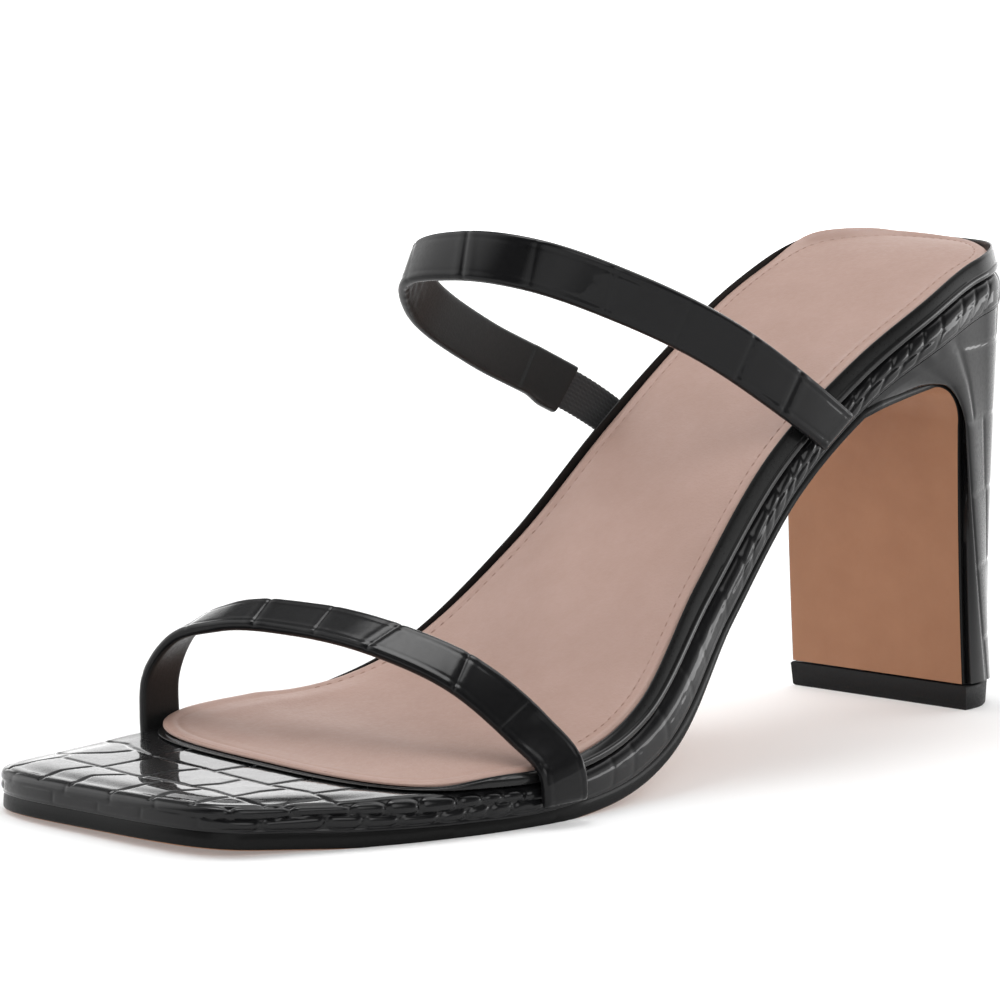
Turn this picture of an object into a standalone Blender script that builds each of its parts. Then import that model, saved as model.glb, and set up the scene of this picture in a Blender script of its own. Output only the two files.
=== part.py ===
"""Square-toe two-strap heeled mule for the left foot.

Sizes are millimetres in the shoe's own axes and become metres when a mesh is made:
x runs to the outer (lateral) side, u runs forward from the back of the heel, z runs up.
In the world the toe points to -Y and the outer side to +X.
"""
import bpy
import bmesh
import numpy as np

MM = 0.001
GAP = 0.3            # clearance between pieces that touch

# One row for each section of the sole: its outer and inner edge, the height of the sock's edge,
# how far the outer edge is tipped against the middle, the rise of the insole's rim above the
# sock's edge, the insole's depth below that edge, the height of the platform's side and the
# thickness of the outsole.
SECTION_COLUMNS = ("u", "lat", "med", "bed", "bank", "rim", "board", "rand", "sole")
SECTIONS = np.array((
    (0.0, 25.2, -27.8, 94.8, -0.5, 1.5, 3.3, 6.4, 1.6),
    (11.0, 25.4, -28.0, 95.2, -0.5, 1.4, 3.3, 6.4, 1.6),
    (22.0, 26.4, -28.2, 93.4, -0.6, 1.1, 3.3, 6.4, 1.6),
    (40.0, 29.0, -26.4, 86.8, -1.0, 0.8, 3.3, 5.7, 1.6),
    (60.0, 29.2, -23.0, 76.7, -1.3, 0.9, 3.3, 4.7, 1.6),
    (84.0, 29.5, -21.6, 59.4, -1.4, 1.3, 3.3, 4.9, 1.5),
    (107.0, 33.6, -23.9, 38.0, -1.6, 1.1, 3.3, 5.6, 1.7),
    (130.0, 41.3, -30.9, 19.2, -1.5, 0.4, 3.1, 6.8, 2.5),
    (154.0, 45.2, -38.2, 11.8, -1.0, -0.3, 2.5, 5.4, 2.8),
    (175.0, 43.2, -41.9, 10.7, -0.4, 0.2, 1.9, 5.7, 2.8),
    (195.0, 37.4, -42.0, 10.6, 0.1, 0.2, 1.7, 5.8, 2.8),
    (209.0, 31.8, -39.0, 10.9, 0.3, 0.2, 1.7, 5.6, 2.8),
    (225.0, 26.5, -33.5, 11.5, 0.5, 0.2, 1.7, 5.2, 2.8),
))

# Plan ends: an ellipse round the heel, a squarer curve across the toe and across the sock
HEEL_BACK, HEEL_CAP = 1.0, 22.0
TOE_TIP, TOE_CAP, TOE_POWER = 224.5, 13.0, 4.0
TOE_SKEW, TOE_SKEW_FROM = -0.09, 195.0
SOCK_TIP, SOCK_CAP, SOCK_POWER = 190.2, 20.0, 3.2
WHOLE_PLAN = (TOE_TIP, TOE_CAP, TOE_POWER)
SOCK_PLAN = (SOCK_TIP, SOCK_CAP, SOCK_POWER)

# Layers: insets from the sole's outline, edge radii and thicknesses
SOCK_INSET, SOCK_EDGE, SOCK_CROWN, SOCK_ROUND = 2.4, 1.0, 1.0, 0.5
INSOLE_INSET, RIM_ROUND = 0.6, 0.5
RAND_ROUND, RAND_TUCK = 2.6, 1.2
OUTSOLE_INSET, OUTSOLE_ROUND = 0.3, 0.7
FLAP_THICK, FLAP_INNER_MARGIN, FLAP_OUTER_MARGIN = 1.2, 0.4, 2.3

# Heel: the plan of its foot, the line of the breast, the fillet and the tip of the lip
TOP_PIECE, TOP_PIECE_TAPER = 5.2, 0.35
HEEL_FOOT = TOP_PIECE + GAP
HEEL_HALF, HEEL_MID, HEEL_DEPTH, HEEL_POWER = 23.1, -1.5, 17.0, 2.25
HEEL_SKEW = -0.104
HEEL_INSET = 0.6
BREAST_FOOT = (20.9, HEEL_FOOT)
BREAST_HEAD = (24.6, 60.2)
BREAST_FILLET = 10.5
LIP_TIP = (54.0, 69.1)
LIP_STATION = 58.3
SOLE_STATION = 63.3  # where the outsole leaves the lip and follows the platform
SIDE_SHARE = 0.55    # part of the plan curve over which the front edge's curve fades out

# One row for each knot of the heel's front line: the share of the way from the foot's plan to
# the top's plan, and the share of the height at the heel's back.
HEEL_SHARES = {"foot": (0.0, 0.0), "head": (0.3, 0.66), "root": (0.6, 0.84), "tip": (1.0, 0.96)}

# One row for each control section of a strap from the inner foot to the outer one: its middle
# (x, u, z) and the direction of its width (x, u, z). A foot lies on the platform's side.
TOE_STRAP = np.array((
    (-43.4, 178.6, 3.6, 0.00, 1.00, 0.00),
    (-43.6, 179.0, 11.0, 0.00, 1.00, 0.00),
    (-43.0, 179.0, 18.5, 0.08, 0.99, 0.02),
    (-38.2, 177.4, 26.8, 0.29, 0.95, -0.13),
    (-27.4, 174.8, 31.4, 0.29, 0.88, -0.38),
    (-9.8, 169.8, 32.4, 0.17, 0.86, -0.47),
    (9.9, 165.4, 30.2, 0.11, 0.87, -0.49),
    (26.5, 161.0, 25.1, -0.02, 0.85, -0.53),
    (39.6, 157.4, 16.6, -0.22, 0.86, -0.46),
    (46.6, 155.4, 10.2, -0.10, 0.98, -0.16),
    (46.9, 154.6, 3.8, -0.03, 1.00, -0.02),
))
INSTEP_STRAP = np.array((
    (-23.6, 76.6, 61.2, 0.00, 0.78, -0.62),
    (-24.8, 84.6, 66.4, 0.00, 0.66, -0.75),
    (-27.6, 95.6, 72.6, 0.02, 0.53, -0.85),
    (-29.4, 108.2, 79.0, 0.01, 0.49, -0.87),
    (-28.5, 124.9, 89.8, 0.00, 0.56, -0.83),
    (-23.3, 131.5, 96.0, 0.20, 0.57, -0.80),
    (-8.2, 131.9, 99.0, 0.08, 0.44, -0.90),
    (7.9, 126.7, 97.6, -0.06, 0.35, -0.94),
    (18.5, 113.0, 91.3, -0.21, 0.36, -0.91),
    (25.0, 97.7, 83.3, -0.28, 0.45, -0.84),
    (30.2, 77.6, 69.6, -0.06, 0.70, -0.71),
    (30.9, 67.8, 62.8, 0.00, 0.80, -0.60),
))
TOE_STRAP_WIDTH, INSTEP_STRAP_WIDTH = 9.0, 10.2
STRAP_THICK, STRAP_ROUND = 2.2, 0.8
GORE_LENGTH, GORE_WIDTH, GORE_THICK, GORE_ROUND = 14.4, 8.6, 1.4, 0.4

# Steps in the meshes
HEEL_STEPS, SIDE_STEPS, TOE_STEPS, COLUMNS = 9, 24, 8, 6
HEEL_ROWS, BREAST_STEPS, FILLET_STEPS, LIP_STEPS = 15, 4, 7, 4
STRAP_STEPS, GORE_STEPS = 44, 8
FIRST_TURN = 8.0     # the first row round a plan's end, in degrees from its tip
LAST_TURN = 84.0     # the last row across a squarer end
SHARP_ANGLE = 40.0

PATENT_BLACK = (0.012, 0.012, 0.013)
COLOURS = {
    "insole": (0.010, 0.010, 0.010),
    "sock": (0.52, 0.37, 0.31),
    "outsole": (0.34, 0.17, 0.095),
    "top_piece": (0.008, 0.008, 0.009),
    "elastic_gore": (0.018, 0.018, 0.019),
}
PATENT_ROUGHNESS = 0.2
ROUGHNESS = {"sock": 0.62, "outsole": 0.55, "top_piece": 0.5, "elastic_gore": 0.8}


def through(knots, values, at):
    """Smooth curve through rows of values at the knots, with three-point slopes."""
    step = np.diff(knots)[:, None]
    rise = np.diff(values, axis=0) / step
    slope = np.empty_like(values)
    slope[1:-1] = (rise[:-1] * step[1:] + rise[1:] * step[:-1]) / (step[:-1] + step[1:])
    slope[0] = 1.5 * rise[0] - 0.5 * slope[1]
    slope[-1] = 1.5 * rise[-1] - 0.5 * slope[-2]
    i = np.clip(np.searchsorted(knots, at) - 1, 0, len(knots) - 2)
    t = ((at - knots[i]) / step[i, 0])[:, None]
    low = values[i] * (2 * t**3 - 3 * t**2 + 1) + slope[i] * step[i] * (t**3 - 2 * t**2 + t)
    return low + values[i + 1] * (3 * t**2 - 2 * t**3) + slope[i + 1] * step[i] * (t**3 - t**2)


def section(u):
    """The sole's section values at the stations u, as a dictionary of columns."""
    rows = through(SECTIONS[:, 0], SECTIONS, np.asarray(u, float))
    return {name: rows[:, i] for i, name in enumerate(SECTION_COLUMNS)}


def heel_turn(inset, turn):
    """Stations round the heel's back at the angles turn from its rearmost point."""
    return HEEL_CAP - (HEEL_CAP - HEEL_BACK - inset) * np.cos(np.radians(turn))


def stations(inset, tip, cap, power):
    """Stations from the heel's back to a front end, closer together round both ends."""
    heel = heel_turn(inset, np.linspace(FIRST_TURN, 90.0, HEEL_STEPS))
    side = np.linspace(HEEL_CAP, tip - cap, SIDE_STEPS + 1)[1:]
    turn = np.radians(np.linspace(0.0, LAST_TURN, TOE_STEPS + 1)[1:])
    return np.concatenate((heel, side, tip - cap + (cap - inset) * np.sin(turn) ** (2 / power)))


def outline(u, inset, tip, cap, power):
    """Inner and outer edge of a plan curve at the stations u."""
    row = section(u)
    back = np.clip((HEEL_CAP - u) / (HEEL_CAP - HEEL_BACK - inset), 0, 1)
    front = np.clip((u - tip + cap) / (cap - inset), 0, 1)
    half = (row["lat"] - row["med"]) / 2 - inset
    half = half * np.sqrt(1 - back**2) * (1 - front**power) ** (1 / power)
    mid = (row["lat"] + row["med"]) / 2
    return mid - half, mid + half


def slope_normal(u):
    """Forward and upward part of the bed's normal in the side view."""
    reach = 1.0
    fall = (section(u + reach)["bed"] - section(u - reach)["bed"]) / (2 * reach)
    length = np.hypot(1, fall)
    return -fall / length, 1 / length


def place(u, x, depth):
    """Points at the stations u, at x across and depth below the bed along its normal."""
    row = section(u)
    forward, upward = (part[:, None] for part in slope_normal(u))
    mid = ((row["lat"] + row["med"]) / 2)[:, None]
    half = ((row["lat"] - row["med"]) / 2)[:, None]
    skew = TOE_SKEW * np.clip((u - TOE_SKEW_FROM) / (TOE_TIP - TOE_SKEW_FROM), 0, 1)[:, None]
    along = u[:, None] - depth * forward + skew * (x - mid)
    height = row["bed"][:, None] + row["bank"][:, None] * (x - mid) / half - depth * upward
    return np.stack((x, along, height), axis=-1)


def across(low, high):
    """Rows of points from the inner edge to the outer one."""
    return low[:, None] + (high - low)[:, None] * np.linspace(0, 1, COLUMNS + 1)


def layer(inset, depth_of, plan=WHOLE_PLAN):
    """One grid of points in a plan curve, at a depth that is a function of the station."""
    u = stations(inset, *plan)
    x = across(*outline(u, inset, *plan))
    return place(u, x, np.broadcast_to(depth_of(u), u.shape)[:, None])


def platform_top(u):
    """Depth of the platform's top face below the bed."""
    return section(u)["board"] + GAP


def platform_foot(u):
    """Depth of the platform's lower face below the bed."""
    return platform_top(u) + section(u)["rand"]


def border(rows, columns):
    """Grid places round the edge of a grid, in order."""
    first = [(0, c) for c in range(columns)]
    right = [(r, columns - 1) for r in range(1, rows)]
    last = [(rows - 1, c) for c in range(columns - 2, -1, -1)]
    left = [(r, 0) for r in range(rows - 2, 0, -1)]
    return first + right + last + left


def finish_mesh(name, bm, collection):
    """Turn a bmesh in shoe axes into a named object with its own material."""
    for vert in bm.verts:
        x, u, z = vert.co
        vert.co = (x * MM, -u * MM, z * MM)
    bmesh.ops.recalc_face_normals(bm, faces=bm.faces)
    mesh = bpy.data.meshes.new(name)
    bm.to_mesh(mesh)
    bm.free()
    mesh.shade_smooth()
    mesh.set_sharp_from_angle(angle=np.radians(SHARP_ANGLE))
    material = bpy.data.materials.new(name)
    material.use_nodes = True
    shader = material.node_tree.nodes["Principled BSDF"]
    shader.inputs["Base Color"].default_value = (*COLOURS.get(name, PATENT_BLACK), 1)
    shader.inputs["Roughness"].default_value = ROUGHNESS.get(name, PATENT_ROUGHNESS)
    shader.inputs["Metallic"].default_value = 0.0
    mesh.materials.append(material)
    obj = bpy.data.objects.new(name, mesh)
    collection.objects.link(obj)
    return obj


def stack_solid(name, layers, collection):
    """Closed solid from grids: the first and last are its faces, all give its side."""
    rows, columns = layers[0].shape[:2]
    ring = border(rows, columns)
    bm = bmesh.new()
    grids = []
    for index, grid in enumerate(layers):
        whole = index in (0, len(layers) - 1)
        places = [(r, c) for r in range(rows) for c in range(columns)] if whole else ring
        grids.append({p: bm.verts.new(grid[p]) for p in places})
    for verts in (grids[0], grids[-1]):
        for r in range(rows - 1):
            for c in range(columns - 1):
                corners = ((r, c), (r, c + 1), (r + 1, c + 1), (r + 1, c))
                bm.faces.new([verts[p] for p in corners])
    for upper, lower in zip(grids, grids[1:]):
        for a, b in zip(ring, ring[1:] + ring[:1]):
            bm.faces.new((upper[a], upper[b], lower[b], lower[a]))
    return finish_mesh(name, bm, collection)


def sweep_solid(name, loops, collection):
    """Closed solid through a run of closed loops, with flat ends."""
    bm = bmesh.new()
    rings = [[bm.verts.new(point) for point in loop] for loop in loops]
    for ring, following in zip(rings, rings[1:]):
        for k in range(len(ring)):
            m = (k + 1) % len(ring)
            bm.faces.new((ring[k], ring[m], following[m], following[k]))
    bm.faces.new(rings[0])
    bm.faces.new(rings[-1])
    return finish_mesh(name, bm, collection)


def make_platform(collection):
    """Wrapped platform: its top covers the toe and its rounded side shows all round."""
    layers = []
    for turn in np.radians((0, 35, 90)):
        drop = RAND_ROUND * (1 - np.cos(turn))
        inset = RAND_ROUND * (1 - np.sin(turn))
        layers.append(layer(inset, lambda u, drop=drop: platform_top(u) + drop))
    layers.append(layer(0.0, lambda u: platform_foot(u) - RAND_TUCK))
    layers.append(layer(RAND_TUCK, platform_foot))
    return stack_solid("platform", layers, collection)


def make_insole(collection):
    """Insole with a raised smooth rim round the sock."""
    def rim(u):
        return -section(u)["rim"]

    inner = SOCK_INSET - GAP
    layers = [
        layer(inner, lambda u: SOCK_EDGE + GAP, SOCK_PLAN),
        layer(inner - GAP, rim, SOCK_PLAN),
        layer(INSOLE_INSET + RIM_ROUND, rim, SOCK_PLAN),
        layer(INSOLE_INSET, lambda u: rim(u) + RIM_ROUND, SOCK_PLAN),
        layer(INSOLE_INSET, lambda u: section(u)["board"], SOCK_PLAN),
    ]
    return stack_solid("insole", layers, collection)


def make_sock(collection):
    """Padded sock, highest along its middle."""
    top = layer(SOCK_INSET + SOCK_ROUND, lambda u: 0.0, SOCK_PLAN)
    top[..., 2] += SOCK_CROWN * (1 - np.linspace(-1, 1, COLUMNS + 1) ** 4)
    layers = [
        top,
        layer(SOCK_INSET, lambda u: SOCK_ROUND, SOCK_PLAN),
        layer(SOCK_INSET, lambda u: SOCK_EDGE, SOCK_PLAN),
    ]
    return stack_solid("sock", layers, collection)


def heel_front():
    """The heel's front line from its foot up the breast, round the fillet and along the lip.

    Rows hold u, z, the share of the top's plan and the share of the height at the back.
    """
    foot, head, root, tip = (np.array(HEEL_SHARES[k]) for k in ("foot", "head", "root", "tip"))
    rows = []
    for t in np.linspace(0, 1, BREAST_STEPS + 1):
        point = np.array(BREAST_FOOT) * (1 - t) + np.array(BREAST_HEAD) * t
        plan, back = foot + (head - foot) * (t * t, t)
        rows.append((*point, plan, back))
    for t in np.linspace(0, 1, FILLET_STEPS + 1)[1:]:
        turn = np.radians(90 * t)
        point = np.array(BREAST_HEAD) + BREAST_FILLET * np.array((1 - np.cos(turn), np.sin(turn)))
        rows.append((*point, *(head + (root - head) * t)))
    fillet_end = np.array(rows[-1][:2])
    for t in np.linspace(0, 1, LIP_STEPS + 1)[1:]:
        point = fillet_end * (1 - t) + np.array(LIP_TIP) * t
        rows.append((*point, *(root + (tip - root) * t)))
    return np.array(rows)


def heel_foot_grid(inset, height):
    """The plan of the heel's foot from its front to its back, drawn in by inset all round."""
    turn = np.radians(np.linspace(0, 90 - FIRST_TURN / 2, HEEL_ROWS))
    half = (HEEL_HALF - inset) * np.cos(turn) ** (2 / HEEL_POWER)
    reach = (HEEL_DEPTH - 2 * inset) * np.sin(turn) ** (2 / HEEL_POWER)
    x = across(HEEL_MID - half, HEEL_MID + half)
    along = (BREAST_FOOT[0] - inset - reach)[:, None] + HEEL_SKEW * (x - HEEL_MID)
    return np.stack((x, along, np.full_like(x, height)), axis=-1)


def heel_top_grid():
    """The heel's top face, just under the platform, from the lip's tip to the back."""
    straight = HEEL_ROWS // 2
    side = np.linspace(LIP_STATION, HEEL_CAP, straight + 1)[:-1]
    round_end = heel_turn(HEEL_INSET, np.linspace(90, FIRST_TURN, HEEL_ROWS - straight))
    u = np.concatenate((side, round_end))
    x = across(*outline(u, HEEL_INSET, *WHOLE_PLAN))
    return place(u, x, (platform_foot(u) + GAP)[:, None])


def make_heel(collection):
    """Covered heel block: straight breast, round back and a lip that runs under the arch."""
    foot = heel_foot_grid(0.0, HEEL_FOOT)
    top = heel_top_grid()
    rows = np.linspace(0, 1, HEEL_ROWS)[:, None]
    fade = np.clip(1 - rows / SIDE_SHARE, 0, 1) ** 2
    tip_bank = top[0, :, 2] - top[0, :, 2].mean()
    layers = []
    for u, z, plan_share, back_share in heel_front():
        grid = foot + (top - foot) * back_share
        share = back_share + (plan_share - back_share) * fade
        grid[..., 0] = foot[..., 0] + (top[..., 0] - foot[..., 0]) * share
        front = grid[:1].copy()
        skew = HEEL_SKEW * (1 - plan_share)
        front[..., 1] = u + skew * (front[..., 0] - front[..., 0].mean())
        front[..., 2] = z + tip_bank * plan_share**2
        grid += (front - grid[:1]) * fade[..., None]
        layers.append(grid)
    layers.append(top)
    return stack_solid("heel", layers[::-1], collection)


def make_top_piece(collection):
    """Top piece under the heel and its flap, drawn in a little towards the floor."""
    layers = [heel_foot_grid(0.0, TOP_PIECE), heel_foot_grid(TOP_PIECE_TAPER, 0.0)]
    for grid in layers:
        grid[..., 1] += (FLAP_THICK + GAP) * np.linspace(1, 0, HEEL_ROWS)[:, None]
    return stack_solid("top_piece", layers, collection)


def sole_line(inset):
    """The outsole's upper line from the breast's foot to the toe, with its edges and tilts.

    Rows hold u, z, inner x, outer x, the tilt and the skew across, and the thickness.
    """
    foot = heel_foot_grid(0.0, HEEL_FOOT)[0]
    tip = heel_top_grid()[0]
    tip_tilt = (tip[-1, 2] - tip[0, 2]) / (tip[-1, 0] - tip[0, 0])
    lip_thick = section([LIP_STATION])["sole"][0]
    rows = []
    for u, z, share, _ in heel_front():
        low, high = (foot[c, 0] + (tip[c, 0] - foot[c, 0]) * share for c in (0, -1))
        lip = share**3
        low += FLAP_INNER_MARGIN * (1 - lip) + (OUTSOLE_INSET - HEEL_INSET) * lip + inset
        high -= FLAP_OUTER_MARGIN * (1 - lip) + (OUTSOLE_INSET - HEEL_INSET) * lip + inset
        thick = FLAP_THICK + (lip_thick - FLAP_THICK) * share**2
        rows.append((u, z, low, high, tip_tilt * share**2, HEEL_SKEW * (1 - share), thick))
    u = stations(OUTSOLE_INSET + inset, *WHOLE_PLAN)
    u = u[u > SOLE_STATION]
    low, high = outline(u, OUTSOLE_INSET + inset, *WHOLE_PLAN)
    edge = place(u, np.stack((low, high), axis=-1), platform_foot(u)[:, None])
    middle = edge.mean(axis=1)
    spread = edge[:, 1] - edge[:, 0]
    tilt, skew = spread[:, 2] / spread[:, 0], spread[:, 1] / spread[:, 0]
    columns = (middle[:, 1], middle[:, 2], low, high, tilt, skew, section(u)["sole"])
    return np.concatenate((np.array(rows), np.stack(columns, axis=-1)))


def sole_grid(inset, depth_share):
    """A grid below the sole line, at a share of the outsole's thickness, flat on the floor."""
    u, z, low, high, tilt, skew, thick = sole_line(inset).T[:, :, None]
    run = np.gradient(np.concatenate((u, z), axis=1), axis=0)
    run /= np.linalg.norm(run, axis=1)[:, None]
    depth = GAP + depth_share * thick
    x = across(low[:, 0], high[:, 0])
    off = x - x.mean(axis=1, keepdims=True)
    along = u + run[:, 1:] * depth + skew * off
    height = np.maximum(z - run[:, :1] * depth + tilt * off, 0.0)
    height[0] = HEEL_FOOT
    return np.stack((x, along, height), axis=-1)


def make_outsole(collection):
    """Outsole from the toe along the arch, turned down over the heel's breast as a flap."""
    profile = ((OUTSOLE_INSET, 0.0), (0.0, 0.2), (0.0, 0.75), (OUTSOLE_ROUND, 1.0))
    return stack_solid("outsole", [sole_grid(*ring) for ring in profile], collection)


def strap_line(table, steps, start=0.0, stop=None):
    """Middle, width direction and outward normal of a strap between two lengths along it."""
    reach = np.linalg.norm(np.diff(table[:, :3], axis=0), axis=1)
    knots = np.concatenate(((0.0,), np.cumsum(reach)))
    rows = through(knots, table, np.linspace(start, stop or knots[-1], steps + 1))
    middle = rows[:, :3]
    wide = rows[:, 3:] / np.linalg.norm(rows[:, 3:], axis=1)[:, None]
    out = np.cross(np.gradient(middle, axis=0), wide)
    return middle, wide, out / np.linalg.norm(out, axis=1)[:, None]


def strap_loops(line, width, thick, rounding):
    """Closed loops round a strap: a flat bar with bevelled edges."""
    half, deep = width / 2, thick / 2
    corner = np.array(((half - rounding, deep), (half, deep - rounding)))
    side = np.concatenate((corner, corner[::-1] * (1, -1)))
    shape = np.concatenate((side, -side))
    middle, wide, out = (part[:, None] for part in line)
    return middle + wide * shape[:, :1] + out * shape[:, 1:]


def make_straps(collection):
    """Toe strap, instep strap and the short elastic at the instep strap's inner foot."""
    toe = strap_line(TOE_STRAP, STRAP_STEPS)
    instep = strap_line(INSTEP_STRAP, STRAP_STEPS, start=GORE_LENGTH + GAP)
    gore = strap_line(INSTEP_STRAP, GORE_STEPS, stop=GORE_LENGTH)
    loops = {
        "toe_strap": strap_loops(toe, TOE_STRAP_WIDTH, STRAP_THICK, STRAP_ROUND),
        "instep_strap": strap_loops(instep, INSTEP_STRAP_WIDTH, STRAP_THICK, STRAP_ROUND),
        "elastic_gore": strap_loops(gore, GORE_WIDTH, GORE_THICK, GORE_ROUND),
    }
    return [sweep_solid(name, run, collection) for name, run in loops.items()]


def stand_on_origin(objects, collection):
    """Hang all pieces on one empty that puts the foot of their box's middle at the origin."""
    points = np.array([v.co for obj in objects for v in obj.data.vertices])
    low, high = points.min(axis=0), points.max(axis=0)
    root = bpy.data.objects.new("mule_root", None)
    root.location = (-(low[0] + high[0]) / 2, -(low[1] + high[1]) / 2, -low[2])
    collection.objects.link(root)
    for obj in objects:
        obj.parent = root


def main():
    for obj in list(bpy.data.objects):
        bpy.data.objects.remove(obj)
    collection = bpy.data.collections.new("heeled_mule")
    bpy.context.scene.collection.children.link(collection)
    pieces = [
        make_platform(collection),
        make_insole(collection),
        make_sock(collection),
        make_outsole(collection),
        make_heel(collection),
        make_top_piece(collection),
        *make_straps(collection),
    ]
    stand_on_origin(pieces, collection)
    bpy.context.view_layer.update()


main()
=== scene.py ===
"""Looks of the two-strap heeled mule for the left foot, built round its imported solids.

Sizes are millimetres in the shoe's own axes: x runs to the outer (lateral) side, u runs forward
from the back of the heel, z runs up. to_frame turns them into metres in the frame's axes.
"""

import bmesh
import bpy
import numpy as np
from mathutils import Matrix, Vector
from mathutils.kdtree import KDTree


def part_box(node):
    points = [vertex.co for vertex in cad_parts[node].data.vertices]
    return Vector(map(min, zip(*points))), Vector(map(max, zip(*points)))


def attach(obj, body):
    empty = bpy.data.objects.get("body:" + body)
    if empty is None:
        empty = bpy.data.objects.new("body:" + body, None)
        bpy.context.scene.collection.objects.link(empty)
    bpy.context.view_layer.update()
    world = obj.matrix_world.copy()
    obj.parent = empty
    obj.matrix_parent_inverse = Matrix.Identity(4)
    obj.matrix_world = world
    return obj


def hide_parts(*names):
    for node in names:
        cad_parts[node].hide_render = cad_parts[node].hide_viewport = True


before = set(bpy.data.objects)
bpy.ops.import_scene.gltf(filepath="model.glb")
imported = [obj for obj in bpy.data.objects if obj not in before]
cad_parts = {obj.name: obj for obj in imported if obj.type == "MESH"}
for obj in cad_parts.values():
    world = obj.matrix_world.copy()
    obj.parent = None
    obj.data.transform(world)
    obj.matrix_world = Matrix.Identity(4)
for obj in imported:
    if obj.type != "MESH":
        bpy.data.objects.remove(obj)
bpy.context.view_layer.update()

MM = 0.001
GAP = 0.3
UP = (0.0, 0.0, 1.0)

# Sole and heel, close to the solids: one row for each section of the sole
SECTION_COLUMNS = ("u", "lat", "med", "bed", "bank", "rim", "board", "rand", "sole")
SECTIONS = np.array((
    (0.0, 25.2, -27.8, 94.8, -0.5, 1.5, 3.3, 6.4, 1.6),
    (11.0, 25.4, -28.0, 95.2, -0.5, 1.4, 3.3, 6.4, 1.6),
    (22.0, 26.4, -28.2, 93.4, -0.6, 1.1, 3.3, 6.4, 1.6),
    (40.0, 29.0, -26.4, 86.8, -1.0, 0.8, 3.3, 5.7, 1.6),
    (60.0, 29.2, -23.0, 76.7, -1.3, 0.9, 3.3, 4.7, 1.6),
    (84.0, 29.5, -21.6, 59.4, -1.4, 1.3, 3.3, 4.9, 1.5),
    (107.0, 33.6, -23.9, 38.0, -1.6, 1.1, 3.3, 5.6, 1.7),
    (130.0, 41.3, -30.9, 19.2, -1.5, 0.4, 3.1, 6.8, 2.5),
    (154.0, 45.2, -38.2, 11.8, -1.0, -0.3, 2.5, 5.4, 2.8),
    (175.0, 43.2, -41.9, 10.7, -0.4, 0.2, 1.9, 5.7, 2.8),
    (195.0, 37.4, -42.0, 10.6, 0.1, 0.2, 1.7, 5.8, 2.8),
    (209.0, 31.8, -39.0, 10.9, 0.3, 0.2, 1.7, 5.6, 2.8),
    (225.0, 26.5, -33.5, 11.5, 0.5, 0.2, 1.7, 5.2, 2.8),
))
SLOPE_REACH = 1.0       # how far to each side the bed's slope is read
HEEL_BACK, HEEL_CAP = 1.0, 22.0
TOE_TIP, TOE_CAP, TOE_POWER = 224.5, 13.0, 4.0
TOE_SKEW, TOE_SKEW_FROM = -0.09, 195.0
SOCK_TIP, SOCK_CAP, SOCK_POWER = 190.2, 20.0, 3.2
WHOLE_PLAN = (TOE_TIP, TOE_CAP, TOE_POWER)
SOCK_PLAN = (SOCK_TIP, SOCK_CAP, SOCK_POWER)
SOCK_INSET, SOCK_EDGE, SOCK_CROWN, SOCK_ROUND, CROWN_POWER = 2.4, 1.0, 1.0, 0.5, 4
INSOLE_INSET = 0.6
RAND_ROUND, RAND_TUCK, SIDE_FULLNESS = 2.6, 0.4, 0.75
OUTSOLE_INSET, OUTSOLE_ROUND = 0.3, 0.7
FLAP_THICK, FLAP_INNER_MARGIN, FLAP_OUTER_MARGIN = 1.2, 0.4, 1.0
TOP_PIECE, TOP_PIECE_TAPER, TOP_PIECE_EDGE = 5.2, 0.35, 0.35
HEEL_FOOT = TOP_PIECE + GAP
HEEL_HALF, HEEL_MID, HEEL_DEPTH, HEEL_POWER = 23.1, -1.5, 17.0, 2.25
HEEL_SKEW = -0.104
HEEL_INSET = 0.6
BREAST_FOOT = (20.9, HEEL_FOOT)
BREAST_HEAD = (24.6, 60.2)
BREAST_FILLET = 10.5
LIP_TIP = (54.0, 69.1)
LIP_STATION = 62.3
SOLE_STATION = 63.3
SIDE_SHARE = 0.55
HEEL_SHARES = {"foot": (0.0, 0.0), "head": (0.3, 0.66), "root": (0.6, 0.84), "tip": (1.0, 0.96)}

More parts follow.
